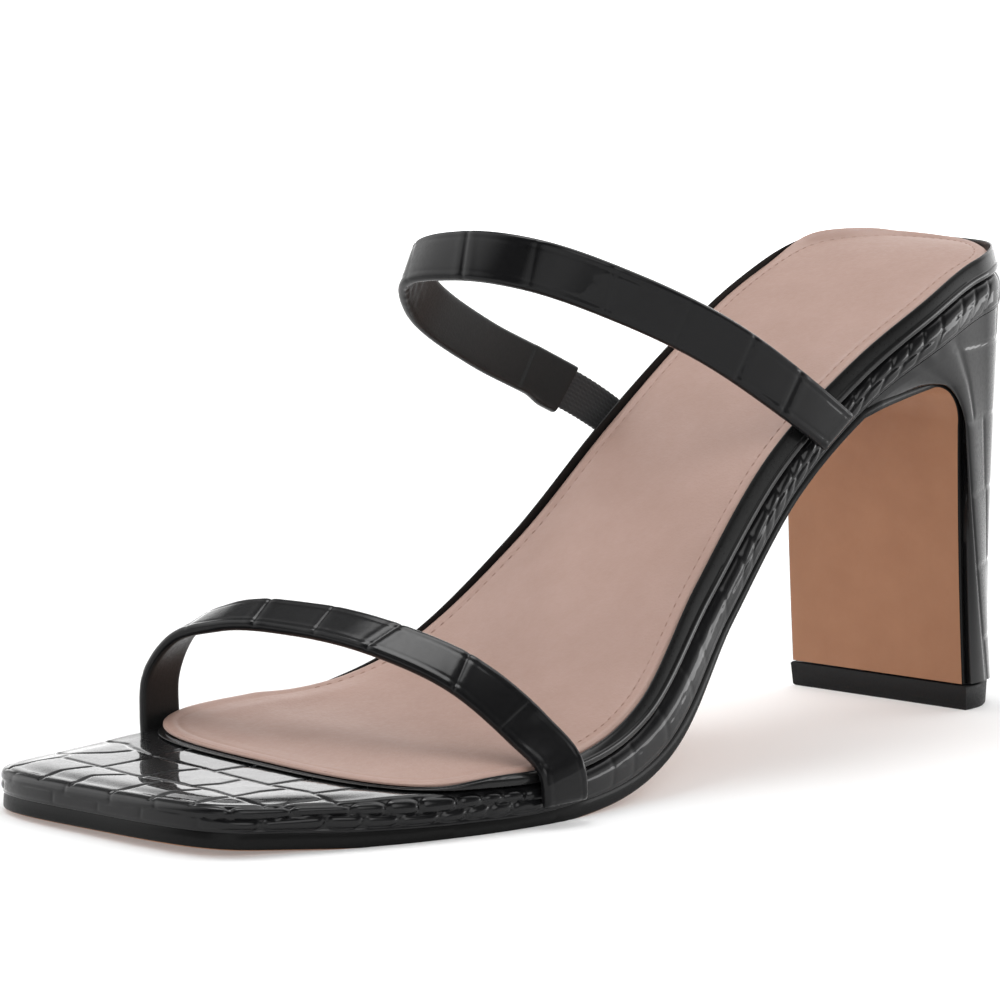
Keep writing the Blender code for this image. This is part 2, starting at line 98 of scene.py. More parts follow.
# Straps: the middle (x, u, z) and the direction of the width (x, u, z) from the inner foot on
TOE_STRAP = np.array((
    (-43.4, 178.6, 3.6, 0.00, 1.00, 0.00),
    (-43.6, 179.0, 11.0, 0.00, 1.00, 0.00),
    (-43.0, 179.0, 18.5, 0.08, 0.99, 0.02),
    (-38.2, 177.4, 26.8, 0.29, 0.95, -0.13),
    (-27.4, 174.8, 31.4, 0.29, 0.88, -0.38),
    (-9.8, 169.8, 32.4, 0.17, 0.86, -0.47),
    (9.9, 165.4, 30.2, 0.11, 0.87, -0.49),
    (26.5, 161.0, 25.1, -0.02, 0.85, -0.53),
    (39.6, 157.4, 16.6, -0.22, 0.86, -0.46),
    (46.6, 155.4, 10.2, -0.10, 0.98, -0.16),
    (46.9, 154.6, 3.8, -0.03, 1.00, -0.02),
))
INSTEP_STRAP = np.array((
    (-23.6, 76.6, 61.2, 0.00, 0.78, -0.62),
    (-24.8, 84.6, 66.4, 0.00, 0.66, -0.75),
    (-27.6, 95.6, 72.6, 0.02, 0.53, -0.85),
    (-29.4, 108.2, 79.0, 0.01, 0.49, -0.87),
    (-28.5, 124.9, 89.8, 0.00, 0.56, -0.83),
    (-23.3, 131.5, 96.0, 0.20, 0.57, -0.80),
    (-8.2, 131.9, 99.0, 0.08, 0.44, -0.90),
    (7.9, 126.7, 97.6, -0.06, 0.35, -0.94),
    (18.5, 113.0, 91.3, -0.21, 0.36, -0.91),
    (25.0, 97.7, 83.3, -0.28, 0.45, -0.84),
    (30.2, 77.6, 69.6, -0.06, 0.70, -0.71),
    (30.9, 67.8, 62.8, 0.00, 0.80, -0.60),
))
TOE_STRAP_WIDTH, INSTEP_STRAP_WIDTH = 9.0, 10.2
STRAP_THICK, STRAP_ROUND = 2.2, 0.9
GORE_LENGTH, GORE_WIDTH, GORE_THICK, GORE_ROUND = 14.4, 8.6, 1.4, 0.5

# Grooves between the large scales on the toe's top, as lines of (x, u)
TOE_GROOVES = (
    ((-42.0, 194.6), (-33.5, 194.3), (-30.4, 195.6), (-20.0, 198.0), (-6.0, 198.0), (4.0, 198.7),
     (16.0, 199.0), (25.0, 197.6), (33.0, 198.6), (40.0, 197.4)),
    ((-27.4, 198.0), (-28.5, 202.0), (-30.6, 205.0), (-33.0, 207.4), (-41.0, 207.9)),
    ((-33.0, 207.4), (-31.0, 211.3), (-17.0, 211.7), (-7.0, 212.2), (2.0, 211.0), (15.0, 210.5),
     (22.0, 211.5), (34.0, 210.0)),
    ((-31.0, 211.3), (-31.7, 215.8), (-30.8, 226.0)),
    ((-19.6, 198.0), (-18.6, 203.5), (-17.4, 211.7)),
    ((-4.4, 198.0), (-5.6, 205.0), (-4.9, 212.0)),
    ((8.6, 198.8), (9.8, 205.0), (8.4, 210.8)),
    ((21.0, 198.2), (20.2, 204.0), (21.6, 211.4)),
    ((31.0, 198.4), (30.0, 204.0), (30.6, 210.6)),
    ((-19.0, 211.7), (-19.7, 219.0), (-17.7, 227.0)),
    ((-7.8, 212.2), (-11.5, 218.0), (-8.6, 227.0)),
    ((1.2, 211.1), (2.2, 218.0), (1.0, 227.0)),
    ((12.4, 210.6), (11.0, 217.0), (12.2, 227.0)),
    ((21.4, 211.4), (20.6, 218.0), (21.6, 227.0)),
    ((-1.4, 180.0), (-1.1, 198.0)),
    ((-22.0, 180.0), (-21.4, 197.6)),
    ((15.2, 180.0), (15.8, 199.0)),
    ((28.0, 180.0), (27.2, 197.9)),
)
TOE_GROOVE_WIDTH, TOE_GROOVE_DEPTH, TOE_PILLOW, TOE_FADE = 0.42, 0.22, 0.07, (0.05, 0.2)
# The stations from which the toe's top and its relief show, and the top's fall near its edge
PATCH_START, PATCH_FADE = 178.0, (179.0, 182.0)
SHOULDER_FALL, SHOULDER_REACH, SHOULDER_FADE, SHOULDER_END = 0.55, 3.2, (184.0, 202.0), 0.35

# Scales round the platform's side by station: length of a scale, slant of its ends, depth of the
# grooves between scales and share of that depth in the grooves along the rows
SCALE_COLUMNS = ("u", "length", "slant", "depth", "split")
SIDE_SCALES = np.array((
    (0.0, 7.5, -0.6, 0.09, 0.0),
    (44.0, 6.0, -0.9, 0.11, 0.1),
    (58.0, 4.6, -1.0, 0.14, 0.6),
    (72.0, 4.2, -1.0, 0.16, 0.8),
    (90.0, 5.4, -0.9, 0.11, 0.4),
    (106.0, 9.5, -0.5, 0.05, 0.0),
    (150.0, 9.0, -0.3, 0.05, 0.0),
    (162.0, 5.0, -0.3, 0.28, 1.0),
    (185.0, 7.0, -0.2, 0.36, 1.0),
    (207.0, 11.5, 0.0, 0.38, 1.0),
    (219.0, 13.5, 0.0, 0.32, 0.9),
    (223.0, 14.0, 0.0, 0.05, 0.3),
))
SCALE_SPREAD, SIDE_SEED, HEEL_SEED = (0.7, 1.3), 5, 11
SIDE_TOP, SIDE_SPLIT, SIDE_FOOT, SIDE_HEIGHT, LEAST_SPLIT = 0.05, 0.5, 0.9, 8.5, 0.05
SPLIT_WAVE, SPLIT_WAVE_LENGTH, SLANT_REACH, END_BOW, END_TURN = 0.06, 5.3, 7.0, 0.5, 3.1
SIDE_GROOVE_WIDTH, SIDE_DOME, DOME_REACH, SCALE_CORNER = 0.45, 1.3, 1.1, 0.6
SIDE_FADE_TOP, SIDE_FADE_FOOT = (0.02, 0.12), (0.84, 0.97)
HEEL_SCALE_HEIGHT, HEEL_SCALE_LENGTH, HEEL_SCALE_FOOT, HEEL_SCALE_ROWS = 15.5, 12.5, 15.0, range(-1, 6)
HEEL_GROOVE_WIDTH, HEEL_GROOVE_DEPTH, HEEL_PILLOW, HEEL_BORDER = 0.45, 0.16, 0.06, 2.6
HEEL_WAVE, HEEL_WAVE_LENGTH, HEEL_EDGE_FADE = 0.04, 6.0, (0.2, 1.4)
BORDER_SHARE, LEAST_BEHIND = 0.6, 0.01

# Sock: the seam round its edge with the threads in it, and the inner front part, where the sock
# reaches over the rim and its edge turns up
SEAM_INSET, SEAM_WIDTH, SEAM_DEPTH, EDGE_ROLL = 2.9, 0.5, 0.16, 0.22
STITCH_PITCH, STITCH_LENGTH, STITCH_RADIUS, STITCH_SIDES, STITCH_SPOTS = 2.4, 1.0, 0.14, 8, 5
STITCH_ENDS, STITCH_POWER, STITCH_DROP = (0.12, 0.88), 0.6, 20.0
STITCH_END = 150.0      # the station up to which threads show
OVERLAP, OVERLAP_REACH, RIM_DROP = (142.0, 160.0), 3.2, 1.7
FRONT_FADE, FRONT_DROP, FRONT_THIN = (164.0, 184.0), 0.9, 0.5
FLANGE_RISE, CREST_INSET, CREST_RISE, CREST_WIDTH = 1.1, 9.0, 0.35, 3.5
CREST_FADE, CREST_SIDE = (122.0, 160.0), (0.1, 0.5)
SEAT_FRONT, SEAT_FULL, SEAT_RISE, SEAT_ROLL, SEAT_MID, SEAT_TURN = 34.0, 16.0, 2.2, 1.7, 0.5, 0.9

# Board: the slope and the rounding of its rim, and the bead at its foot
RIM_SLOPE, SLOPE_POWER, BOARD_LEFT = 0.8, 0.7, 0.1
BEAD, BEAD_BULGE, BEAD_SHARE = 0.75, 0.3, 0.45

# Mesh: steps round the heel, along a side and round the toe, columns across and rings
FINE_STEPS, PLATFORM_COLUMNS, SIDE_RINGS = (70, 470, 60), 180, 31
MEDIUM_STEPS, INSOLE_COLUMNS = (40, 220, 50), 40
SOCK_STEPS, SOCK_COLUMNS, SOCK_RINGS = (40, 240, 50), 100, 6
CROWN_RINGS, SLOPE_RINGS, BEAD_RINGS = 13, 9, 9
FIRST_TURN, LAST_TURN, TOE_SAMPLES = 30.0, 72.0, 600
SMOOTH_ANGLE = 50.0

# Camera: direction, roll and distance from its target, from the photograph's perspective
CAMERA_AZIMUTH, CAMERA_ELEVATION, CAMERA_ROLL = 48.677, 7.7247, 0.324
CAMERA_DISTANCE, CAMERA_LENS, CAMERA_SENSOR = 792.04, 148.38, 36.0
CAMERA_TARGET = (0.0, 129.28, 52.288)


def frame_shift():
    """Metres from the shoe's own origin to the frame's, read off the top piece's box."""
    low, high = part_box("top_piece")
    front = BREAST_FOOT[0] + FLAP_THICK + GAP + abs(HEEL_SKEW) * HEEL_HALF
    return np.array(((low[0] + high[0]) / 2 - HEEL_MID * MM, low[1] + front * MM, 0.0))


SHIFT = frame_shift()


def to_frame(points):
    """Shoe millimetres to metres in the frame."""
    return np.asarray(points) * (MM, -MM, MM) + SHIFT


# Curves and plans

def join(*parts):
    """Arrays put together as the parts of points or rows."""
    return np.stack(parts, axis=-1)


def turns(low, high, count):
    """Even angles between two ends in degrees, as radians."""
    return np.radians(np.linspace(low, high, count))


def clamp(value):
    """Value held between nought and one."""
    return np.clip(value, 0, 1)


def one_long(vectors):
    """Vectors brought to the length one."""
    return vectors / np.linalg.norm(vectors, axis=-1, keepdims=True)


def through(knots, values, at):
    """Smooth curve through rows of values at the knots, with three-point slopes."""
    step = np.diff(knots)[:, None]
    rise = np.diff(values, axis=0) / step
    slope = np.empty_like(values)
    slope[1:-1] = (rise[:-1] * step[1:] + rise[1:] * step[:-1]) / (step[:-1] + step[1:])
    slope[0] = 1.5 * rise[0] - 0.5 * slope[1]
    slope[-1] = 1.5 * rise[-1] - 0.5 * slope[-2]
    i = np.clip(np.searchsorted(knots, at) - 1, 0, len(knots) - 2)
    t = ((at - knots[i]) / step[i, 0])[:, None]
    low = values[i] * (2 * t**3 - 3 * t**2 + 1) + slope[i] * step[i] * (t**3 - 2 * t**2 + t)
    return low + values[i + 1] * (3 * t**2 - 2 * t**3) + slope[i + 1] * step[i] * (t**3 - t**2)


def lengths(points):
    """Lengths along a line at its points."""
    return np.concatenate(((0.0,), np.cumsum(np.linalg.norm(np.diff(points, axis=0), axis=1))))


def across(low, high, columns):
    """Rows of points from the inner edge to the outer one."""
    return low[:, None] + (high - low)[:, None] * np.linspace(0, 1, columns)


def section(u):
    """The sole's section values, middle and half width at the stations u, each of u's shape."""
    u = np.asarray(u, float)
    rows = through(SECTIONS[:, 0], SECTIONS, u.ravel())
    row = {name: rows[:, i].reshape(u.shape) for i, name in enumerate(SECTION_COLUMNS)}
    row["mid"] = (row["lat"] + row["med"]) / 2
    row["half"] = (row["lat"] - row["med"]) / 2
    return row


def heel_turn(inset, turn):
    """Stations round the heel's back at the angles turn from its rearmost point."""
    return HEEL_CAP - (HEEL_CAP - HEEL_BACK - inset) * np.cos(np.radians(turn))


def stations(inset, plan, steps):
    """Stations from the heel's back to a front end, even along the outline round the front."""
    tip, cap, power = plan
    around_heel, along_side, around_toe = steps
    heel = heel_turn(inset, np.linspace(FIRST_TURN, 90.0, around_heel + 1))
    side = np.linspace(HEEL_CAP, tip - cap, along_side + 1)[1:]
    turn = turns(0.0, LAST_TURN, TOE_SAMPLES)
    half = section([tip - cap])["half"][0]
    depth, width = cap * np.sin(turn) ** (2 / power), half * np.cos(turn) ** (2 / power)
    run = lengths(join(depth, width))
    share = np.interp(np.linspace(0, run[-1], around_toe + 1)[1:], run, depth / cap)
    return np.concatenate((heel, side, tip - cap + (cap - inset) * share))


def outline(u, inset, plan):
    """Inner and outer edge of a plan curve at the stations u."""
    tip, cap, power = plan
    row = section(u)
    back = clamp((HEEL_CAP - u) / (HEEL_CAP - HEEL_BACK - inset))
    front = clamp((u - tip + cap) / (cap - inset))
    half = (row["half"] - inset) * np.sqrt(1 - back**2) * (1 - front**power) ** (1 / power)
    return row["mid"] - half, row["mid"] + half


def toe_bend(u, x, inset, plan):
    """How far forward the points of rows near the front move to follow the plan's end."""
    tip, cap, power = plan
    row = section(u[:, None])
    share = clamp(np.abs(x - row["mid"]) / (row["half"] - inset))
    front = tip - cap + (cap - inset) * (1 - share**power) ** (1 / power)
    near = clamp((u - tip + cap) / (u[-1] - tip + cap)) ** 2
    return near[:, None] * (front - u[:, None])


def plan_grid(inset, plan, steps, columns):
    """Stations and places across of a grid whose end rows follow the plan's end curves."""
    u = stations(inset, plan, steps)
    x = across(*outline(u, inset, plan), columns)
    row = section(u[:, None])
    share = np.clip((x - row["mid"]) / (row["half"] - inset), -1, 1)
    back = HEEL_CAP - (HEEL_CAP - HEEL_BACK - inset) * np.sqrt(1 - share**2)
    near = clamp((HEEL_CAP - u) / (HEEL_CAP - u[0]))[:, None] ** 2
    return u[:, None] + near * (back - u[:, None]) + toe_bend(u, x, inset, plan), x


def plan_ring(*plan):
    """Stations and places across round the edge of such a grid."""
    return [edge_of(part) for part in plan_grid(*plan)]


def place(u, x, depth):
    """Points at the stations u, at x across and depth below the bed along its normal."""
    row = section(u)
    fall = (section(u + SLOPE_REACH)["bed"] - section(u - SLOPE_REACH)["bed"]) / (2 * SLOPE_REACH)
    length = np.hypot(1, fall)
    off = x - row["mid"]
    skew = TOE_SKEW * clamp((u - TOE_SKEW_FROM) / (TOE_TIP - TOE_SKEW_FROM))
    along = u + depth * fall / length + skew * off
    height = row["bed"] + row["bank"] * off / row["half"] - depth / length
    return join(x, along, height)


def platform_top(u):
    """Depth of the platform's top face below the bed."""
    return section(u)["board"] + GAP


def platform_foot(u):
    """Depth of the platform's lower face below the bed."""
    return platform_top(u) + section(u)["rand"]


# Meshes

def edge_of(grid):
    """The points round the edge of a grid, in order."""
    return np.concatenate((grid[0], grid[1:, -1], grid[-1, -2::-1], grid[-2:0:-1, 0]))


def grid_faces(rows, columns, wrap=False):
    """Corner numbers of the faces of a grid of points stored row by row."""
    r = np.arange(rows - 1)[:, None]
    c = np.arange(columns if wrap else columns - 1)[None, :]
    n = (c + 1) % columns
    corners = (r * columns + c, r * columns + n, (r + 1) * columns + n, (r + 1) * columns + c)
    return join(*corners).reshape(-1, 4)


def ladder_faces(rows, columns):
    """Faces that close a ring of edge points from side to side, row by row."""
    ring = 2 * (rows + columns) - 4
    outer = [columns - 1 + r for r in range(rows)]
    inner = [0] + [ring - r for r in range(1, rows)]
    first = list(range(columns)) + [outer[1], inner[1]]
    last = list(range(outer[-1], inner[-1] + 1)) + [inner[-2], outer[-2]]
    rungs = [[inner[r], outer[r], outer[r + 1], inner[r + 1]] for r in range(1, rows - 2)]
    return [first] + rungs + [last]


class Skin:
    """Points, faces and relief heights of one piece, gathered part by part."""

    def __init__(self):
        self.points, self.faces, self.slots, self.relief = [], [], [], []
        self.count = 0

    def add(self, points, faces, slot=0, relief=None):
        points = np.reshape(points, (-1, 3))
        self.points.append(points)
        self.relief.append(np.zeros(len(points)) if relief is None else np.ravel(relief))
        self.faces += [[int(i) + self.count for i in face] for face in faces]
        self.slots += [slot] * len(faces)
        self.count += len(points)

    def add_grid(self, grid, relief=None):
        self.add(grid, grid_faces(*grid.shape[:2]), relief=relief)

    def add_rings(self, rings, slot=0, relief=None):
        """Bands between closed rings, given as an array of rings."""
        self.add(rings, grid_faces(*rings.shape[:2], wrap=True), slot, relief)

    def add_tube(self, rings, caps, relief=None):
        """Bands with the same faces over the first and the last ring."""
        self.add_rings(rings, relief=relief)
        for ring in (rings[0], rings[-1]):
            self.add(ring, caps)


def add_object(name, data):
    """New object with its data, linked to the scene."""
    item = bpy.data.objects.new(name, data)
    bpy.context.scene.collection.objects.link(item)
    return item


def make_piece(name, skin, materials, node=None):
    """Weld a skin, raise its relief along the normals and put the piece into the frame."""
    points, relief = np.concatenate(skin.points), np.concatenate(skin.relief)
    _, first, welded = np.unique(np.round(points, 3), axis=0, return_index=True, return_inverse=True)
    welded = welded.ravel().tolist()
    faces = [list(dict.fromkeys(welded[i] for i in face)) for face in skin.faces]
    whole = [i for i, face in enumerate(faces) if len(face) > 2]
    mesh = bpy.data.meshes.new(name)
    mesh.from_pydata(to_frame(points[first]), [], [faces[i] for i in whole])
    mesh.polygons.foreach_set("material_index", [skin.slots[i] for i in whole])
    bm = bmesh.new()
    bm.from_mesh(mesh)
    bmesh.ops.recalc_face_normals(bm, faces=bm.faces)
    bm.to_mesh(mesh)
    bm.free()
    normals = np.empty(3 * len(mesh.vertices), np.float32)
    mesh.vertex_normals.foreach_get("vector", normals)
    raised = to_frame(points[first]) + normals.reshape(-1, 3) * relief[first, None] * MM
    mesh.vertices.foreach_set("co", raised.ravel())
    mesh.update()
    mesh.shade_smooth()
    mesh.set_sharp_from_angle(angle=np.radians(SMOOTH_ANGLE))
    for material in materials:
        mesh.materials.append(material)
    piece = add_object(name, mesh)
    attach(piece, "root")
    if node:
        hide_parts(node)
    return piece


# Relief

def ease(value, low, high):
    """Nought below low, one above high and a smooth rise between."""
    t = clamp((value - low) / (high - low))
    return t * t * (3 - 2 * t)


def bell(distance, width):
    """One at distance nought, with a soft fall to both sides."""
    return np.exp(-(distance / width) ** 2)


def trough(distance, width, depth, pillow, reach=3.0):
    """A soft groove at distance nought that rises to a pillow away from it."""
    return pillow * (1 - np.exp(-distance / reach)) - depth * bell(distance, width)


def distance_to_lines(x, u, lines):
    """Distance of points to the nearest of several lines."""
    nearest = np.full(x.shape, np.inf)
    for line in lines:
        for (ax, au), (bx, bu) in zip(line, line[1:]):
            dx, du = bx - ax, bu - au
            t = clamp(((x - ax) * dx + (u - au) * du) / (dx * dx + du * du))
            nearest = np.minimum(nearest, np.hypot(x - ax - t * dx, u - au - t * du))
    return nearest


def edge_distance(points, edge):
    """Distance of points to the nearest point of an edge."""
    tree = KDTree(len(edge))
    for i, point in enumerate(edge):
        tree.insert(point, i)
    tree.balance()
    flat = points.reshape(-1, 3)
    return np.array([tree.find(point)[2] for point in flat]).reshape(points.shape[:-1])


# Pieces of the sole

def scale_value(u, name):
    """One column of the side scales' table at the stations u."""
    return np.interp(u, SIDE_SCALES[:, 0], SIDE_SCALES[:, SCALE_COLUMNS.index(name)])


def walk_bounds(end, length_at, rng):
    """Places of the ends of scales in a row of varying length."""
    bounds = [0.0]
    while bounds[-1] < end:
        bounds.append(bounds[-1] + length_at(bounds[-1]) * rng.uniform(*SCALE_SPREAD))
    return np.array(bounds)


def bound_distance(places, bounds):
    """Distance to the nearest of sorted places."""
    i = np.clip(np.searchsorted(bounds, places), 1, len(bounds) - 1)
    return np.minimum(np.abs(places - bounds[i - 1]), np.abs(places - bounds[i]))


def side_relief(ring_u, ring_s, down_share):
    """Relief of the platform's side: two rows of scales with soft grooves between."""
    rng = np.random.default_rng(SIDE_SEED)

    def value_at(run, name):
        return scale_value(np.interp(run, ring_s[0], ring_u[0]), name)

    upper = walk_bounds(ring_s[0, -1], lambda run: value_at(run, "length"), rng)
    lower = upper + 0.5 * value_at(upper, "length") * value_at(upper, "split")
    split_at = SIDE_SPLIT + SPLIT_WAVE * np.sin(ring_s / SPLIT_WAVE_LENGTH)
    along = ring_s + scale_value(ring_u, "slant") * (down_share - split_at) * SLANT_REACH
    along = along + END_BOW * np.sin(down_share * END_TURN)
    first = down_share < split_at
    ends = np.where(first, bound_distance(along, upper), bound_distance(along, lower))
    outer = np.where(first, down_share - SIDE_TOP, SIDE_FOOT - down_share)
    rows = np.clip(np.minimum(np.abs(down_share - split_at), outer), 0, None) * SIDE_HEIGHT
    rows = rows / np.maximum(scale_value(ring_u, "split"), LEAST_SPLIT)
    gap = -SCALE_CORNER * np.log(np.exp(-ends / SCALE_CORNER) + np.exp(-rows / SCALE_CORNER))
    depth = scale_value(ring_u, "depth")
    relief = trough(np.clip(gap, 0, None), SIDE_GROOVE_WIDTH, depth, SIDE_DOME * depth, DOME_REACH)
    return relief * ease(down_share, *SIDE_FADE_TOP) * (1 - ease(down_share, *SIDE_FADE_FOOT))


def toe_relief(points, u):
    """Relief of the toe's top from the chart of its grooves, none where the top is hidden."""
    distance = distance_to_lines(points[..., 0], points[..., 1], TOE_GROOVES)
    return trough(distance, TOE_GROOVE_WIDTH, TOE_GROOVE_DEPTH, TOE_PILLOW) * ease(u, *PATCH_FADE)


def shoulder(distance, u):
    """How much lower the toe's top lies near its edge."""
    return SHOULDER_FALL * ease(u, *SHOULDER_FADE) * bell(distance, SHOULDER_REACH)


def make_platform(materials):
    """Scaled cover of the platform: the toe's top and a full round side tucked in at its foot."""
    plan = (WHOLE_PLAN, FINE_STEPS, PLATFORM_COLUMNS)
    turn = turns(0, 180, SIDE_RINGS)
    inset = np.where(turn < np.pi / 2, RAND_ROUND, RAND_TUCK) * (1 - np.sin(turn) ** SIDE_FULLNESS)
    ring_u, ring_x = np.array([plan_ring(i, *plan) for i in inset]).transpose(1, 0, 2)
    down_share = np.broadcast_to((1 - np.cos(turn))[:, None] / 2, ring_u.shape)
    rings = place(ring_u, ring_x, platform_top(ring_u) + down_share * section(ring_u)["rand"])
    widest = rings[len(rings) // 2]
    relief = toe_relief(rings, ring_u) * (1 - ease(down_share, *TOE_FADE))
    relief += side_relief(ring_u, np.broadcast_to(lengths(widest), ring_u.shape), down_share)
    u, x = plan_grid(RAND_ROUND, *plan)
    shown = u[:, 0] > PATCH_START
    u, x = u[shown], x[shown]
    patch = place(u, x, platform_top(u))
    patch[..., 2] -= shoulder(edge_distance(patch, rings[0]), u)
    rings[..., 2] -= shoulder(0.0, ring_u) * (1 - ease(down_share, 0.0, SHOULDER_END))
    skin = Skin()
    skin.add_rings(rings, relief=relief)
    skin.add_grid(patch, relief=toe_relief(patch, u))
    closing = ladder_faces(sum(FINE_STEPS) + 1, PLATFORM_COLUMNS)
    hidden = int(np.count_nonzero(~shown))
    skin.add(rings[0], closing[:hidden - 1])
    step = np.concatenate((rings[0][closing[hidden - 1][:2]], patch[0][::-1]))
    skin.add(step, [range(len(step))])
    skin.add(rings[-1], closing)
    make_piece("platform_cover", skin, materials, "platform")


def inner_front(u, x):
    """Share by which points lie in the inner front part of the bed."""
    row = section(u)
    return ease(u, *OVERLAP) * clamp((row["mid"] - x) / row["half"]) ** 2


def inner_seat(u, x):
    """Share by which points lie at the inner and rear edge of the heel seat."""
    row = section(u)
    side = (x - row["mid"]) / row["half"]
    return ease(-u, -SEAT_FRONT, -SEAT_FULL) * clamp(SEAT_MID - SEAT_TURN * side)


def rim_profile():
    """Rows over the rim: inset, shares of the crown's and the foot's depth, more depth and beads."""
    brow = INSOLE_INSET + RIM_SLOPE
    crest = (SOCK_INSET - 2 * GAP + brow) / 2
    radius = crest - brow
    rows = []
    for turn in turns(0, 180, CROWN_RINGS):
        rows.append((crest + radius * np.cos(turn), 1.0, 0.0, radius * (1 - np.sin(turn)), 0.0))
    for share in np.linspace(0, 1, SLOPE_RINGS)[1:]:
        inset = brow - RIM_SLOPE * share**SLOPE_POWER
        rows.append((inset, 1 - share, share, (1 - share) * radius, -2 * share))
    for turn in turns(0, 180, BEAD_RINGS)[1:]:
        rows.append((INSOLE_INSET - BEAD_BULGE * np.sin(turn), 0.0, 1.0, 0.0, -1 - np.cos(turn)))
    return rows


def make_insole(materials):
    """Smooth black board whose rounded rim stands round the sock, with a bead at its foot."""
    ring = (SOCK_PLAN, MEDIUM_STEPS, INSOLE_COLUMNS)
    u, x = plan_ring(SOCK_INSET - GAP, *ring)
    depth = SOCK_EDGE + GAP + FRONT_THIN * ease(u, *FRONT_FADE)
    rings = [place(u, x, np.minimum(depth, section(u)["board"] - BOARD_LEFT))]
    for inset, crown_share, foot_share, extra, beads in rim_profile():
        u, x = plan_ring(inset, *ring)
        row = section(u)
        crown = RIM_DROP * np.maximum(inner_front(u, x), ease(u, *FRONT_FADE)) - row["rim"]
        bead = np.minimum(BEAD, BEAD_SHARE * (row["board"] - crown))
        depth = crown_share * crown + foot_share * row["board"] + extra + beads * bead
        rings.append(place(u, x, np.minimum(depth, row["board"])))
    skin = Skin()
    skin.add_tube(np.array(rings), ladder_faces(sum(MEDIUM_STEPS) + 1, INSOLE_COLUMNS))
    make_piece("insole_rim", skin, materials, "insole")


def sock_points(inset, depth):
    """Grid of the sock at an inset and depth, stretched over the rim at its inner front."""
    u, x = plan_grid(inset, SOCK_PLAN, SOCK_STEPS, SOCK_COLUMNS)
    x = x - OVERLAP_REACH * inner_front(u, x)
    thin = ease(u, *FRONT_FADE)
    points = place(u, x, depth * (1 - FRONT_THIN * thin) + FRONT_DROP * thin)
    points[..., 2] += FLANGE_RISE * inner_front(u, x) ** 3
    return points


def seat_rise(distance, points):
    """Upward turn of the sock's edge round the heel seat's inner and rear side."""
    return SEAT_RISE * inner_seat(points[..., 1], points[..., 0]) * bell(distance, SEAT_ROLL)


def make_sock(materials):
    """Padded sock: rolled edge, a stitched seam inside it and a soft crown."""
    top = sock_points(SOCK_INSET + SOCK_ROUND, 0.0)
    side = np.linspace(-1, 1, SOCK_COLUMNS)
    top[..., 2] += SOCK_CROWN * (1 - side**CROWN_POWER) * (1 - ease(top[..., 1], *FRONT_FADE))
    rings = [edge_of(top)]
    for turn in turns(0, 90, SOCK_RINGS)[1:]:
        inset = SOCK_INSET + SOCK_ROUND * (1 - np.sin(turn))
        rings.append(edge_of(sock_points(inset, SOCK_ROUND * (1 - np.cos(turn)))))
    rings.append(edge_of(sock_points(SOCK_INSET, SOCK_EDGE)))
    rings = np.array(rings)
    distance = edge_distance(top, rings[-2])
    top[..., 2] += seat_rise(distance, top)
    rings[0] = edge_of(top)
    rings[1:-1, :, 2] += seat_rise(0.0, rings[1:-1])
    relief = EDGE_ROLL * np.sin(np.pi * clamp(distance / SEAM_INSET))
    relief -= SEAM_DEPTH * bell(distance - SEAM_INSET, SEAM_WIDTH)
    front = ease(top[..., 1], *CREST_FADE) * ease(-side, *CREST_SIDE)
    relief += front * CREST_RISE * bell(distance - CREST_INSET, CREST_WIDTH)
    edge_relief = np.zeros(rings.shape[:2])
    edge_relief[0] = edge_of(relief)
    skin = Skin()
    skin.add_grid(top, relief=relief)
    skin.add_rings(rings, relief=edge_relief)
    skin.add(rings[-1], ladder_faces(*top.shape[:2]))
    piece = make_piece("sock_pad", skin, materials, "sock")
    return piece


def make_stitches(sock, materials):
    """Short threads that lie in the sock's seam."""
    path = edge_of(sock_points(SOCK_INSET + SEAM_INSET, 0.0))
    path = np.concatenate((path, path[:1]))
    length = lengths(path)
    turn = np.linspace(0, 2 * np.pi, STITCH_SIDES, endpoint=False)[:, None]
    thick = STITCH_RADIUS * np.sin(np.pi * np.linspace(*STITCH_ENDS, STITCH_SPOTS)) ** STITCH_POWER
    above = Vector((0.0, 0.0, STITCH_DROP * MM))
    skin = Skin()
    for k in range(int(length[-1] / STITCH_PITCH)):
        spots = (k + 0.5) * STITCH_PITCH + np.linspace(-0.5, 0.5, STITCH_SPOTS) * STITCH_LENGTH
        line = join(*(np.interp(spots, length, path[:, i]) for i in range(3)))
        if line[:, 1].max() > STITCH_END:
            continue
        for i, spot in enumerate(to_frame(line)):
            hit, point, _, _ = sock.ray_cast(Vector(spot) + above, (0.0, 0.0, -1.0))
            line[i, 2] = point.z / MM if hit else line[i, 2]
        run = one_long(line[-1] - line[0])
        side = one_long(np.cross(run, UP))
        up = np.cross(side, run)
        rings = line[:, None] + thick[:, None, None] * (np.cos(turn) * side + np.sin(turn) * up)
        skin.add_tube(rings, [range(STITCH_SIDES)])
    make_piece("sock_stitches", skin, materials)


# Heel and outsole

HEEL_ROWS, HEEL_COLUMNS, SOLE_COLUMNS = 150, 24, 30
BREAST_STEPS, FILLET_STEPS, LIP_STEPS = 90, 24, 18
LAST_FOOT_TURN, LAST_TOP_TURN = 88, 3
# The outsole's edge: inset and share of the thickness where it starts, and the share where it turns in
EDGE_START, EDGE_TURN, EDGE_STEPS = ((OUTSOLE_INSET, -0.2), (0.0, 0.05)), 0.75, 5


